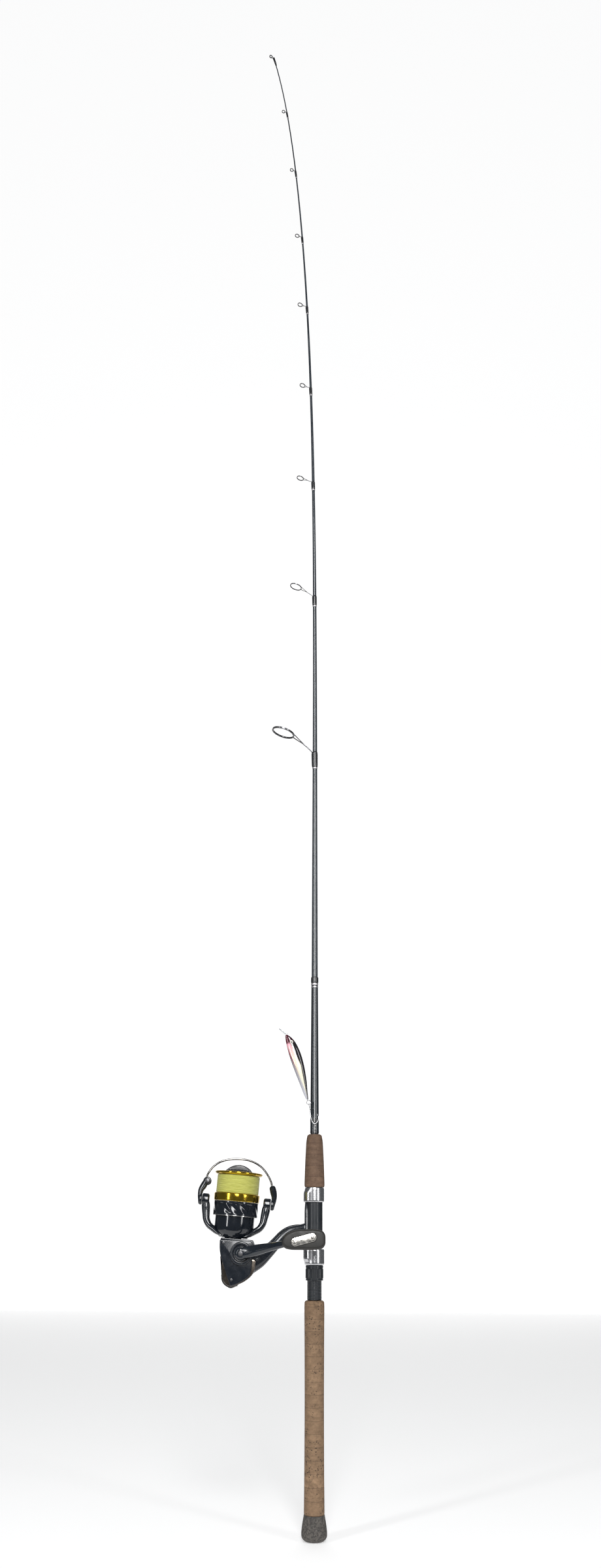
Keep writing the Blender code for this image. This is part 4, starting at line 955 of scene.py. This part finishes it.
pivot = reel @ Matrix.Translation((0.0, 0.0, PIVOT_Z * MM))
roller_at = pivot @ Matrix.Translation((ROLLER_X * MM, ROLLER_Y * MM, ROLLER_UP * MM))
roller_at = roller_at @ Matrix.Rotation(math.radians(-90), 4, "X")
bail_black = finish("bail_gloss_black", (0.006, 0.008, 0.011), 0.24, coat=0.3)
paint(bail_black, blended(bail_black, noise(bail_black, 200.0), (0.004, 0.006, 0.009), (0.010, 0.013,
    0.018)))
smudged(bail_black, 0.12, 0.24)
roller_plate = finish("line_roller_plating", (0.55, 0.50, 0.40), 0.12, metallic=1.0)
paint(roller_plate, blended(roller_plate, noise(roller_plate, 500.0), (0.46, 0.42, 0.33), (0.66, 0.61,
    0.50)))
smudged(roller_plate, 0.08, 0.18, 400.0)

bail_steel = finish("bail_stainless", (0.22, 0.21, 0.20), 0.12, metallic=1.0)
paint(bail_steel, blended(bail_steel, noise(bail_steel, 300.0), (0.17, 0.165, 0.16), (0.28, 0.27, 0.26)))
smudged(bail_steel, 0.08, 0.20, 300.0)

bail_pieces = []
for sign, label in ((-1.0, "roller_side"), (1.0, "rod_side")):
    disc_at = pivot @ Matrix.Rotation(math.radians(90 * sign), 4, "Y")
    bail_pieces.append(lathe(
        f"bail_disc_{label}",
        rounded([(0.0, 45.3), (2.2, 45.3), (2.6, 44.8), (4.6, 45.0), (6.2, 43.6), (6.2, 41.2), (5.6,
            40.8), (0.0, 40.8)],
                [0, 0.2, 0.3, 0.8, 1.0, 0.4, 0.2, 0], closed=False), bail_black, disc_at, 56))
roller_lever = [
    (-43.4, 0.0, 0.0, 4.6, 2.3), (-43.7, 1.2, 5.0, 4.4, 2.8), (-43.2, 2.8, 10.5, 4.4, 3.3),
    (-41.0, 4.2, 15.0, 4.2, 3.9), (-38.9, 4.9, 19.6, 3.0, 3.5), (-37.6, 5.0, 22.0, 1.9, 2.6),
]
bail_pieces.append(swept("roller_lever", eased(roller_lever, 7), bail_black, pivot, 28, 2.4))
eye = [
    (1.65, -2.9), (4.3, -2.9), (4.9, -3.4), (4.9, -6.0), (4.3, -6.7), (1.65, -6.7),
]
bail_pieces.append(lathe("roller_eye", rounded(eye, [0.1, 0.3, 0.4, 0.5, 0.5, 0.2])[::-1], bail_black,
                         roller_at, 48))
rod_lever = [
    (43.4, 0.0, 0.0, 4.6, 2.3), (43.8, 1.8, 4.6, 4.2, 2.9), (43.7, 4.0, 9.4, 4.0, 3.4),
    (42.6, 6.4, 13.8, 3.8, 3.9), (41.0, 8.5, 18.6, 3.3, 3.8),
]
bail_pieces.append(swept("rod_side_lever", eased(rod_lever, 7), bail_black, pivot, 28, 2.4))
roller_cap = lathe(
    "wire_cap",
    rounded([(0.0, 8.2), (1.8, 8.0), (3.4, 6.6), (4.5, 4.6), (4.5, 3.0), (1.65, 3.0), (1.65, 5.8), (0.0,
        5.8)],
            [0, 0.8, 1.5, 1.0, 0.3, 0.1, 0.1, 0], closed=False), bail_black, roller_at, 48)
wire_front = [
    (-39.0, 26.4), (-36.6, 32.4), (-31.6, 39.2), (-24.0, 44.8), (-14.0, 48.2), (-3.0, 49.5), (7.0, 49.2),
    (17.0, 46.6), (26.2, 41.4), (33.4, 33.8), (38.0, 26.8), (39.9, 21.6),
]
wire_route = [(ROLLER_X - 0.6, ROLLER_Y + 7.1, ROLLER_UP + 1.4, 1.3, 1.3)]
for x, z in wire_front:
    y = max(z * BAIL_LEAN, ROLLER_Y + 7.4) if x < 0.0 else z * BAIL_LEAN
    wire_route.append((x, y, z, 1.2, 1.2))
bail_wire = swept("bail_wire_bend", eased(wire_route, 8), bail_steel, pivot, 20)
roller = lathe(
    "line_roller_drum",
    rounded([(4.0, 2.6), (3.9, 2.1), (3.1, 0.9), (3.1, -1.0), (3.9, -2.1), (4.0, -2.6), (1.65, -2.6),
             (1.65, 2.6)],
            [0.2, 0.4, 0.6, 0.6, 0.4, 0.2, 0.1, 0.1]), roller_plate, roller_at, 48)
roller_screw = lathe(
    "roller_screw_head",
    rounded([(0.0, 5.4), (1.3, 5.4), (1.3, -6.85), (3.1, -6.85), (2.9, -7.9), (0.0, -8.1)], [0, 0.1, 0.1,
        0.1, 0.5, 0],
            closed=False), steel_screw, roller_at, 36)
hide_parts("bail_arm")
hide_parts("bail_cam")
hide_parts("bail_wire")
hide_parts("line_roller")
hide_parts("roller_screw")
for made in (*bail_pieces, roller_cap):
    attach(made, "bail")
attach(bail_wire, "bail")
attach(roller_screw, "bail")
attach(roller, "roller")

# ---------------------------------------------------------------------------------------------------------
# Spool. Forged aluminium, anodised gold at the lip and on the band below the line. Its long skirt is gloss black,
# cut with slanting flats and finished with one bright turned line at its bottom edge.
# ---------------------------------------------------------------------------------------------------------
gold = finish("gold_anodise", (0.62, 0.42, 0.045), 0.16, metallic=1.0)
paint(gold, blended(gold, noise(gold, 90.0), (0.48, 0.30, 0.02), (0.66, 0.45, 0.05)))
relief(gold, rings(gold, 0.35), 0.006, 0.5)
smudged(gold, 0.10, 0.22)

spool_lip = lathe(
    "spool_lip",
    rounded([(12.6, 88.0), (21.5, 88.0), (23.5, 89.4), (27.2, 89.2), (28.1, 88.4), (28.1, 87.2), (26.2,
        85.7),
             (18.0, 85.6), (18.0, 80.0), (12.6, 80.0)], [0.2, 1.0, 0.8, 0.5, 0.4, 0.5, 0.8, 0.2, 0.2,
                                                         0.2], steps=5),
    gold, reel, 112)
spool_band = lathe(
    "spool_band",
    rounded([(18.0, 80.2), (18.0, 65.2), (26.0, 65.2), (26.9, 64.4), (26.9, 61.6), (26.6, 57.2), (26.3,
        56.4),
             (24.5, 56.9), (5.0, 57.0), (2.1, 57.0), (2.1, 80.0), (12.6, 80.2)],
            [0.2, 0.2, 0.5, 0.5, 0.4, 0.6, 0.2, 0.2, 0.2, 0.2, 0.2, 0.2], steps=4), gold, reel, 112)

flats = 14
skirt_rows = []
for z in [40.9 + 15.2 * i / 40 for i in range(41)]:
    cut_in = eased_step(z, 42.0, 43.6) * (1.0 - eased_step(z, 53.0, 54.6))
    row = []
    for k in range(flats * 16):
        turn = k / 16.0 + (z - 48.0) / 11.0
        fold = abs((turn % 1.0) * 2.0 - 1.0)
        radius = 26.15 - 0.75 * cut_in * (1.0 - fold)
        angle = math.tau * k / (flats * 16)
        row.append((radius * math.cos(angle), radius * math.sin(angle), z))
    skirt_rows.append(row)
skirt_inside = [[(x * 24.7 / math.hypot(x, y), y * 24.7 / math.hypot(x, y), z) for x, y, _ in skirt_rows[0]]
                for z in (56.1, 40.9)]
points, faces = skin(skirt_rows + skirt_inside + [skirt_rows[0]], ends=False)
spool_skirt = piece("spool_skirt", points, faces, rotor_paint, reel, 14.0)
spool_skirt.modifiers.new("seam", "WELD").merge_threshold = 0.000001
silver_line = lathe(
    "spool_bright_line", rounded([(26.3, 40.9), (26.3, 40.2), (24.9, 40.2), (24.9, 40.9)],
                                 0.15), bright_wire, reel, 96)
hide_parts("spool")
for made in (spool_lip, spool_band, spool_skirt, silver_line):
    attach(made, "spool_assembly")

# ---------------------------------------------------------------------------------------------------------
# Wound line. Fine braided polyethylene, dyed pale yellow-green and laid in close, slightly crossing turns.
# It nearly fills the spool, and its outside stands just under the lip. The grooves between its turns carry painted
# shade.
# ---------------------------------------------------------------------------------------------------------
braid = finish("yellow_braid", (0.64, 0.64, 0.12), 0.62)
streak = noise(braid, 260.0, (0.35, 0.35, 9.0), 3.0)
worn = blended(braid, between(braid, streak, 0.35, 0.68), (0.50, 0.50, 0.07), (0.80, 0.79, 0.22))
groove_bump_and_painted_shade = rings(braid, 0.34, 0.6)
# Painted shade: the colour goes dark in the grooves between turns, where the same waves also sink the bump.
paint(braid, blended(braid, between(braid, groove_bump_and_painted_shade, 0.0, 0.5, 0.55, 0.0), worn, (0.27, 0.28, 0.05)))
braid.node_tree.nodes["Principled BSDF"].inputs["Sheen Weight"].default_value = 0.25
relief(braid, groove_bump_and_painted_shade, 0.16, 0.8)

line_rows = []
levels = 150
for level in range(levels + 1):
    z = 65.3 + (85.3 - 65.3) * level / levels
    row = []
    for k in range(96):
        angle = math.tau * k / 96
        swell = 0.10 * math.sin(level * 1.31 + 2.0 * math.sin(angle)) + 0.07 * math.sin(
            level * 0.37 + 3.0 * angle)
        edge = min(level, levels - level) / 6.0
        radius = 25.0 + swell - (0.5 * (1.0 - edge) ** 2 if edge < 1.0 else 0.0)
        row.append((radius * math.cos(angle), radius * math.sin(angle), z))
    line_rows.append(row)
line_inside = [[(x * 18.1 / math.hypot(x, y), y * 18.1 / math.hypot(x, y), z) for x, y, _ in line_rows[0]]
               for z in (85.3, 65.3)]
points, faces = skin(line_rows + line_inside + [line_rows[0]], ends=False)
wound = piece("wound_line", points, faces, braid, reel, 60.0)
wound.modifiers.new("seam", "WELD").merge_threshold = 0.000001
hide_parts("spool_line")
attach(wound, "spool_assembly")

# ---------------------------------------------------------------------------------------------------------
# Drag knob. A moulded cap with a finger ridge across it, which screws down on the shaft and squeezes the washers.
# It is satin charcoal, with a small bright rivet in the middle of the ridge.
# ---------------------------------------------------------------------------------------------------------
charcoal = finish("drag_charcoal", (0.026, 0.026, 0.028), 0.34, coat=0.3)
paint(charcoal, blended(charcoal, noise(charcoal, 260.0), (0.018, 0.018, 0.020), (0.040, 0.040, 0.043)))
relief(charcoal, noise(charcoal, 2600.0), 0.02, 0.4)

drag_dome = lathe(
    "drag_dome",
    rounded([(0.0, 95.2), (6.0, 94.9), (11.0, 93.4), (14.6, 91.4), (16.2, 89.6), (16.2, 88.5), (12.0, 88.5),
             (11.4, 87.2), (0.0, 87.2)], [0, 3, 4, 2, 0.8, 0.4, 0.3, 0.3, 0], closed=False, steps=5),
    charcoal, reel, 96)
ridge_route = [(-12.6, 0.0, 92.0, 2.2, 1.2), (-9.0, 0.0, 93.4, 2.7, 2.0), (-4.5, 0.0, 94.6, 2.9, 2.5),
               (0.0, 0.0, 94.9, 2.9, 2.6), (4.5, 0.0, 94.6, 2.9, 2.5), (9.0, 0.0, 93.4, 2.7, 2.0),
               (12.6, 0.0, 92.0, 2.2, 1.2)]
drag_ridge = swept("drag_ridge", eased(ridge_route, 6), charcoal, reel, 28, 3.0)
rivet = lathe(
    "drag_rivet", rounded([(0.0, 97.8), (1.5, 97.8), (1.8, 97.3), (1.8, 96.6), (0.0, 96.6)], [0, 0.3, 0.3,
        0, 0],
                          closed=False), bright_wire, reel, 32)
drag_grips = []
for k in range(20):
    angle = math.tau * k / 20
    if abs(math.sin(angle)) > 0.25:
        place = reel @ Matrix.Rotation(angle, 4, "Z")
        drag_grips.append(swept(
            f"drag_grip_{k + 1}", [(14.4, 0.0, 91.7, 0.55, 0.5), (16.0, 0.0, 89.9, 0.6, 0.6), (16.1, 0.0,
                88.9, 0.6, 0.5)],
            charcoal, place, 12))
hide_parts("drag_knob")
for made in (drag_dome, drag_ridge, rivet, *drag_grips):
    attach(made, "drag")

# ---------------------------------------------------------------------------------------------------------
# Crank. A forged arm, broad at the hub and tapering as it bows outward, anodised gloss black. The hub clamps on
# the gear's axle, and a stubby spindle at the far end carries the knob.
# ---------------------------------------------------------------------------------------------------------
CRANK_ANGLE = math.radians(16.18)
CRANK_LENGTH = 73.2

crank_at = reel @ Matrix.Translation((AXLE_X * MM, 0.0, AXLE_Z * MM)) @ Matrix.Rotation(-CRANK_ANGLE, 4,
    "Y")
crank_black = finish("crank_gloss_black", (0.008, 0.011, 0.016), 0.18, coat=0.5)
paint(crank_black, blended(crank_black, noise(crank_black, 180.0), (0.005, 0.008, 0.012), (0.013, 0.018,
    0.026)))
smudged(crank_black, 0.10, 0.24)

hub = turned_on(
    "crank_hub",
    rounded([(0.0, -30.8), (4.4, -30.8), (6.4, -29.2), (6.8, -24.0), (6.2, -22.2), (0.0, -22.2)],
            [0, 1.2, 1.4, 1.5, 0.5, 0], closed=False)[::-1], crank_black, crank_at, (0.0, 0.0), 64)
arm_route = [
    (-2.0, -27.4, 0.0, 3.2, 4.4), (5.0, -28.6, 0.0, 3.4, 5.9), (13.0, -31.6, 0.0, 3.4, 6.2), (22.0, -36.8,
        0.0, 3.2, 5.6),
    (31.0, -42.8, 0.0, 3.0, 4.8), (39.0, -48.2, 0.0, 2.9, 4.2), (46.0, -52.6, 0.0, 2.9, 3.8), (56.0,
        -57.4, 0.0, 2.9, 3.4),
    (66.0, -59.4, 0.0, 2.9, 3.2), (CRANK_LENGTH, -60.0, 0.0, 2.9, 3.4),
]
crank_arm = swept("crank_lever", eased(arm_route, 6), crank_black, crank_at, 32, 2.5)
arm_ridge = swept(
    "crank_lever_ridge",
    eased([(6.0, -31.6, 0.0, 1.0, 1.6), (14.0, -34.8, 0.0, 1.0, 1.8), (23.0, -40.1, 0.0, 1.0, 1.5),
           (32.0, -46.0, 0.0, 0.9, 1.2), (41.0, -52.0, 0.0, 0.8, 0.9)], 6), crank_black, crank_at, 20)
hub_bolt = turned_on(
    "crank_hub_bolt", rounded([(0.0, -31.9), (2.6, -31.9), (3.0, -31.3), (3.0, -30.2), (0.0, -30.2)],
                              [0, 0.5, 0.3, 0, 0], closed=False)[::-1], steel_screw, crank_at, (0.0,
                                  0.0), 40)
spindle = turned_on(
    "knob_spindle",
    rounded([(0.0, -77.8), (2.3, -77.8), (2.3, -64.4), (3.9, -63.6), (4.2, -60.6), (3.0, -59.0), (0.0,
        -59.0)],
            [0, 0.3, 0.5, 0.6, 0.8, 0.8, 0], closed=False)[::-1], crank_black, crank_at, (CRANK_LENGTH,
                0.0), 48)
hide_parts("crank_arm")
for made in (hub, crank_arm, arm_ridge, hub_bolt, spindle):
    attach(made, "crank")

# ---------------------------------------------------------------------------------------------------------
# Knob. A soft-touch paddle moulded in dark taupe, turning on the crank's spindle. A polished oval plate is let
# into its face and held by a slotted screw at each end.
# ---------------------------------------------------------------------------------------------------------
knob_at = crank_at @ Matrix.Translation((CRANK_LENGTH * MM, 0.0,
                                         0.0)) @ Matrix.Rotation(CRANK_ANGLE - REEL_LEAN, 4, "Y")
taupe = finish("knob_taupe", (0.017, 0.016, 0.015), 0.42)
paint(taupe, blended(taupe, noise(taupe, 180.0), (0.012, 0.012, 0.011), (0.026, 0.024, 0.021)))
relief(taupe, noise(taupe, 2200.0), 0.05, 0.6)
smudged(taupe, 0.36, 0.58)
plate_silver = finish("knob_plate_silver", (0.72, 0.69, 0.64), 0.20, metallic=1.0)
paint(plate_silver, blended(plate_silver, noise(plate_silver, 160.0), (0.58, 0.55, 0.50), (0.86, 0.83,
    0.78)))
smudged(plate_silver, 0.12, 0.34, 260.0)

paddle = [
    (-24.5, -4.6), (-21.0, -9.2), (-14.0, -10.6), (14.0, -10.6), (21.0, -9.2), (24.0, -5.0), (24.0, 5.0),
    (21.0, 9.4), (13.0, 11.0), (-9.0, 10.4), (-19.0, 6.6), (-23.6, 1.6),
]
knob_body = slab(
    "knob_paddle", rounded(paddle, [3, 4, 6, 6, 4, 4, 4, 4, 6, 8, 5, 3],
                           steps=6), -81.0, -64.0, taupe, knob_at, 3.4, 3.4, 7)


def stadium(half_length, half_width, tilt, centre=(0.0, 0.0)):
    """A bar with round ends in X and Z, tilted about Y."""
    spots = []
    for start, middle in ((-90.0, half_length - half_width), (90.0, half_width - half_length)):
        for i in range(17):
            angle = math.radians(start + 180.0 * i / 16)
            x, z = middle + half_width * math.cos(angle), half_width * math.sin(angle)
            turned_x = x * math.cos(tilt) - z * math.sin(tilt) + centre[0]
            spots.append((turned_x, x * math.sin(tilt) + z * math.cos(tilt) + centre[1]))
    return spots


PLATE_TILT = math.radians(14.0)
knob_rim = slab("knob_plate_rim", stadium(15.0, 5.2, PLATE_TILT), -81.5, -80.6, taupe, knob_at, 0.5, 0.1)
oval = slab("knob_oval_plate", stadium(14.2, 4.4, PLATE_TILT), -82.2, -81.35, plate_silver, knob_at, 0.4,
            0.1)
knob_metal = [oval]
for sign, label in ((-1.0, "left"), (1.0, "right")):
    spot = (sign * 10.6 * math.cos(PLATE_TILT), sign * 10.6 * math.sin(PLATE_TILT))
    knob_metal.append(turned_on(
        f"knob_screw_{label}",
        rounded([(0.0, -82.9), (2.2, -82.8), (2.7, -82.4), (2.7, -82.0), (0.0, -82.0)], [0, 0.5, 0.3, 0, 0],
                closed=False)[::-1], plate_silver, knob_at, spot, 36))
    groove = slab(f"knob_screw_slot_{label}", stadium(2.3, 0.35, math.radians(62.0 * sign), spot), -82.93,
                  -82.7,
                  taupe, knob_at, 0.02, 0.02, 1)
    knob_metal.append(groove)
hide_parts("handle_knob")
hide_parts("knob_plate")
for made in (knob_body, knob_rim):
    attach(made, "knob")
for made in knob_metal:
    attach(made, "knob")

# ---------------------------------------------------------------------------------------------------------
# Lure. A slim hollow plastic minnow with a clear diving lip, painted with a red head, pale sides, a black back
# and a grey belly that darkens towards the head. It hangs nose up by its tail hook, which is caught in the hook
# keeper.
# ---------------------------------------------------------------------------------------------------------
LURE_SIDE = -9.0
LURE_NOSE = (-35.0, 532.8)
LURE_TAIL = (-9.0, 457.2)

lure_lean = math.atan2(LURE_TAIL[0] - LURE_NOSE[0], LURE_NOSE[1] - LURE_TAIL[1])
lure_length = math.hypot(LURE_NOSE[0] - LURE_TAIL[0], LURE_NOSE[1] - LURE_TAIL[1])
lure_at = (
    Matrix.Translation((LURE_TAIL[0] * MM, LURE_SIDE * MM, LURE_TAIL[1] * MM)) @ Matrix.Rotation(
        -lure_lean, 4, "Y")
)
lure_back = lure_at.inverted()


def on_lure(x, y, z):
    """A world place in millimetres, seen from the lure's tail, with Z towards its nose and -X to its belly."""
    return tuple(lure_back @ (Vector((x, y, z)) * MM) / MM)


lure_paint = finish("lure_paint", (0.85, 0.80, 0.74), 0.12, coat=1.0)
place = node(lure_paint, "SeparateXYZ", Vector=spots_on(lure_paint))
along = node(lure_paint, "Math", {"operation": "DIVIDE"}, i0=place.outputs["Z"],
             i1=lure_length * MM).outputs["Value"]
belly_edge = node(lure_paint, "MapRange", {"interpolation_type": "SMOOTHSTEP"}, Value=along, To_Min=0.0016,
                  To_Max=-0.0042).outputs["Result"]
back_edge = node(lure_paint, "Math", {"operation": "MULTIPLY"}, i0=node(
    lure_paint, "Math", {"operation": "PINGPONG"}, i0=along, i1=0.5).outputs["Value"], i1=0.0104).outputs["Value"]
from_belly = node(lure_paint, "Math", {"operation": "SUBTRACT"}, i0=place.outputs["X"],
                  i1=belly_edge).outputs["Value"]
from_back = node(lure_paint, "Math", {"operation": "SUBTRACT"}, i0=place.outputs["X"],
                 i1=back_edge).outputs["Value"]
side_tone = blended(lure_paint, between(lure_paint, along, 0.62, 0.86), (0.92, 0.88, 0.70), (0.93, 0.42,
    0.52))
scales = node(lure_paint, "TexVoronoi", Vector=spots_on(lure_paint, (1.0, 1.0, 0.6)),
              Scale=900.0).outputs["Distance"]
side_tone = blended(lure_paint, between(lure_paint, scales, 0.1, 0.7, 0.0, 0.16), side_tone, (0.55, 0.52,
    0.46))
# The belly is coloured grey, going darker from the tail towards the head.
belly_tone = blended(lure_paint, between(lure_paint, along, 0.1, 0.75), (0.55, 0.55, 0.60), (0.24, 0.22,
    0.24))
edge_line = between(lure_paint, from_belly, -0.0001, 0.0009, 1.0, 0.0)
edge_line = node(lure_paint, "Math", {"operation": "MULTIPLY"}, i0=edge_line, i1=between(
    lure_paint, along, 0.30, 0.62)).outputs["Value"]
tone = blended(lure_paint, edge_line, side_tone, (0.30, 0.02, 0.06))
tone = blended(lure_paint, between(lure_paint, from_belly, -0.0014, 0.0001, 1.0, 0.0), tone, belly_tone)
tone = blended(lure_paint, between(lure_paint, from_back, -0.0003, 0.0006), tone, (0.012, 0.010, 0.012))
head = between(lure_paint, along, 0.855, 0.885)
head_tone = blended(lure_paint, between(lure_paint, place.outputs["X"], -0.004, 0.003), (0.16, 0.010,
    0.030),
                    (0.030, 0.006, 0.012))
paint(lure_paint, blended(lure_paint, head, tone, head_tone))
relief(lure_paint, scales, 0.06, 0.4)

lure_points = [
    (-35.0, 532.8, 1.6), (-32.0, 528.0, 4.2), (-28.0, 520.0, 6.2), (-23.2, 507.0, 7.2), (-18.4, 492.0, 6.4),
    (-14.2, 477.0, 4.6), (-11.0, 464.0, 2.6), (-9.0, 457.2, 1.4),
]
lure_route = []
for x, z, radius in lure_points:
    lure_route.append((*on_lure(x, LURE_SIDE, z), radius * 0.62, radius))
lure_body = swept("lure_minnow", eased(lure_route, 8), lure_paint, lure_at, 40, 2.2)

lip_clear = finish("clear_lip", (0.80, 0.85, 0.88), 0.06, coat=0.5)
lip_clear.node_tree.nodes["Principled BSDF"].inputs["Transmission Weight"].default_value = 0.85
paint(lip_clear, blended(lip_clear, noise(lip_clear, 200.0), (0.72, 0.77, 0.80), (0.88, 0.92, 0.94)))
lip_at = Matrix.Translation((-36.3 * MM, LURE_SIDE * MM, 534.4 * MM)) @ Matrix.Rotation(math.radians(
    -50.0), 4, "Y")
lip_rows = []
for x in (-0.5, -0.35, 0.35, 0.5):
    less = 0.15 if abs(x) == 0.5 else 0.0
    outline = rounded([(-3.2, 0.0), (3.2, 0.0), (4.4, 7.0), (2.6, 10.2), (-2.6, 10.2), (-4.4, 7.0)],
                      [0.2, 0.2, 2, 2, 2, 2], steps=5)
    lip_rows.append([(x, y, z) for y, z in inset(outline, less)])
lip = piece("lure_diving_lip", *skin(lip_rows), lip_clear, lip_at, 30.0)

eye_pieces = []
eye_white = finish("lure_eye", (0.80, 0.78, 0.72), 0.08, coat=1.0)
paint(eye_white, blended(eye_white, noise(eye_white, 900.0), (0.70, 0.66, 0.56), (0.88, 0.86, 0.80)))
eye_dark = finish("lure_pupil", (0.008, 0.008, 0.009), 0.08, coat=1.0)
paint(eye_dark, blended(eye_dark, noise(eye_dark, 900.0), (0.006, 0.006, 0.007), (0.02, 0.02, 0.02)))
for sign, label in ((-1.0, "near"), (1.0, "far")):
    eye_at = lure_at @ Matrix.Translation(Vector(on_lure(-28.6, LURE_SIDE + sign * 3.3, 524.6)) * MM)
    eye_at = eye_at @ Matrix.Rotation(math.radians(-90.0 * sign), 4, "X")
    eye_pieces.append(lathe(
        f"lure_eye_{label}", rounded([(0.0, 0.75), (1.6, 0.55), (2.2, 0.0), (2.0, -0.8), (0.0, -0.8)],
                                     [0, 0.8, 0.4, 0.1, 0], closed=False), eye_white, eye_at, 36))
    eye_pieces.append(lathe(
        f"lure_pupil_{label}", rounded([(0.0, 0.95), (0.9, 0.85), (1.1, 0.5), (0.0, 0.5)], [0, 0.3, 0.1, 0],
                                       closed=False), eye_dark, eye_at, 28))

plated_wire = finish("plated_wire", (0.55, 0.55, 0.56), 0.20, metallic=1.0)
paint(plated_wire, blended(plated_wire, noise(plated_wire, 500.0), (0.42, 0.42, 0.43), (0.66, 0.66, 0.67)))
smudged(plated_wire, 0.14, 0.30, 500.0)


def eye_ring(name, major, minor, made, place):
    """A round wire ring about Z."""
    outline = []
    for k in range(16):
        angle = math.tau * k / 16
        outline.append((major + minor * math.cos(angle), -minor * math.sin(angle)))
    return lathe(name, outline, made, place, 40, 80.0)


split_at = Matrix.Translation((-7.3 * MM, LURE_SIDE * MM, 453.2 * MM)) @ Matrix.Rotation(0.3, 4, "Z")
split_at = split_at @ Matrix.Rotation(math.radians(90), 4, "X")
split = eye_ring("lure_split_ring", 2.5, 0.42, plated_wire, split_at)
tie_at = lure_at @ Matrix.Translation((Vector(on_lure(-34.6, LURE_SIDE, 534.4))) * MM) @ Matrix.Rotation(
    math.radians(90), 4, "X")
line_tie = eye_ring("lure_line_tie", 1.3, 0.32, plated_wire, tie_at)
tail_at = lure_at @ Matrix.Translation((Vector(on_lure(-8.7, LURE_SIDE, 455.9))) * MM) @ Matrix.Rotation(
    math.radians(90), 4, "Y")
tail_eye = eye_ring("lure_tail_eye", 1.2, 0.32, plated_wire, tail_at)
hook_points = [
    (-6.6, -0.2, 449.2), (-5.6, 0.0, 444.0), (-4.8, 0.0, 438.0), (-3.8, 0.0, 432.6), (-1.6, 0.0, 429.2),
    (1.6, 0.0, 429.0), (4.0, 0.0, 432.0), (4.4, 0.0, 436.4), (3.4, 0.0, 439.6),
]
hook_gauge = [0.5, 0.52, 0.52, 0.52, 0.52, 0.52, 0.52, 0.45, 0.1]
hook_route = [(x, y + LURE_SIDE, z, g, g) for (x, y, z), g in zip(hook_points, hook_gauge)]
hook = swept("lure_tail_hook", eased(hook_route, 8), plated_wire, sides=16)
hook_eye_at = Matrix.Translation((-6.8 * MM, (LURE_SIDE - 0.2) * MM, 450.4 * MM)) @ Matrix.Rotation(
    math.radians(90), 4, "Y")
hook_eye = eye_ring("hook_eye", 1.2, 0.38, plated_wire, hook_eye_at)
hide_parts("lure_body")
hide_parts("lure_lip")
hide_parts("split_ring")
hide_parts("lure_hook")
for made in (lure_body, *eye_pieces):
    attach(made, "root")
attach(lip, "root")
for made in (split, hook, line_tie, tail_eye, hook_eye):
    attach(made, "root")

# ---------------------------------------------------------------------------------------------------------
# Studio. A pale seamless floor, soft light from both sides and above, and the camera low in front.
# ---------------------------------------------------------------------------------------------------------
CAMERA_AT = (-19.4, -1431.0, 302.2)
CAMERA_PITCH = math.radians(21.645)
CAMERA_ROLL = math.radians(0.34)
CAMERA_LENS = 26.2

floor_finish = finish("studio_floor", (0.80, 0.80, 0.80), 0.8)
paint(floor_finish, blended(floor_finish, noise(floor_finish, 3.0), (0.79, 0.79, 0.79), (0.81, 0.81, 0.81)))
wall_finish = finish("studio_wall", (0.30, 0.30, 0.30), 0.9)
paint(wall_finish, blended(wall_finish, noise(wall_finish, 3.0), (0.29, 0.29, 0.29), (0.31, 0.31, 0.31)))
floor_shader = floor_finish.node_tree.nodes["Principled BSDF"]
floor_shader.inputs["Emission Color"].default_value = (1.0, 1.0, 1.0, 1.0)
floor_shader.inputs["Emission Strength"].default_value = 0.40
wall_shader = wall_finish.node_tree.nodes["Principled BSDF"]
wall_shader.inputs["Emission Color"].default_value = (1.0, 1.0, 1.0, 1.0)
wall_shader.inputs["Emission Strength"].default_value = 0.92
floor = piece(
    "studio_floor", [(-700.0, -420.0, -0.2), (700.0, -420.0, -0.2), (2400.0, 4000.0, -0.2), (-2400.0,
        4000.0, -0.2)],
    [(0, 1, 2, 3)], floor_finish)
wall = piece(
    "studio_wall", [(-2400.0, 4000.0, -0.2), (2400.0, 4000.0, -0.2), (2400.0, 4000.0, 9000.0), (-2400.0,
        4000.0, 9000.0)],
    [(0, 1, 2, 3)], wall_finish)

world = bpy.data.worlds.new("studio")
world.use_nodes = True
world.node_tree.nodes["Background"].inputs["Color"].default_value = (0.92, 0.96, 1.0, 1.0)
world.node_tree.nodes["Background"].inputs["Strength"].default_value = 0.12
bpy.context.scene.world = world


def softbox(name, place, aim, size, power):
    light = bpy.data.lights.new(name, "AREA")
    light.shape = "RECTANGLE"
    light.size, light.size_y = size
    light.energy = power
    holder = bpy.data.objects.new(name, light)
    holder.location = place
    holder.rotation_euler = (Vector(aim) - Vector(place)).to_track_quat("-Z", "Y").to_euler()
    bpy.context.scene.collection.objects.link(holder)


softbox("key_light", (0.05, -2.6, 1.7), (-0.04, 0.0, 0.7), (0.7, 2.4), 70.0)
softbox("side_light", (-1.7, -1.9, 1.2), (-0.04, 0.0, 0.7), (0.22, 2.4), 22.0)
softbox("low_light", (1.5, -1.6, 0.9), (-0.04, 0.0, 0.5), (0.3, 1.6), 12.0)

camera = bpy.data.cameras.new("camera")
camera.lens = CAMERA_LENS
camera.sensor_width = 36.0
camera.clip_end = 50.0
viewer = bpy.data.objects.new("camera", camera)
viewer.matrix_world = (
    Matrix.Translation(Vector(CAMERA_AT) * MM) @ Matrix.Rotation(math.radians(90.0) + CAMERA_PITCH, 4, "X")
    @ Matrix.Rotation(CAMERA_ROLL, 4, "Z")
)
bpy.context.scene.collection.objects.link(viewer)
bpy.context.scene.camera = viewer
bpy.context.scene.view_settings.view_transform = "Standard"
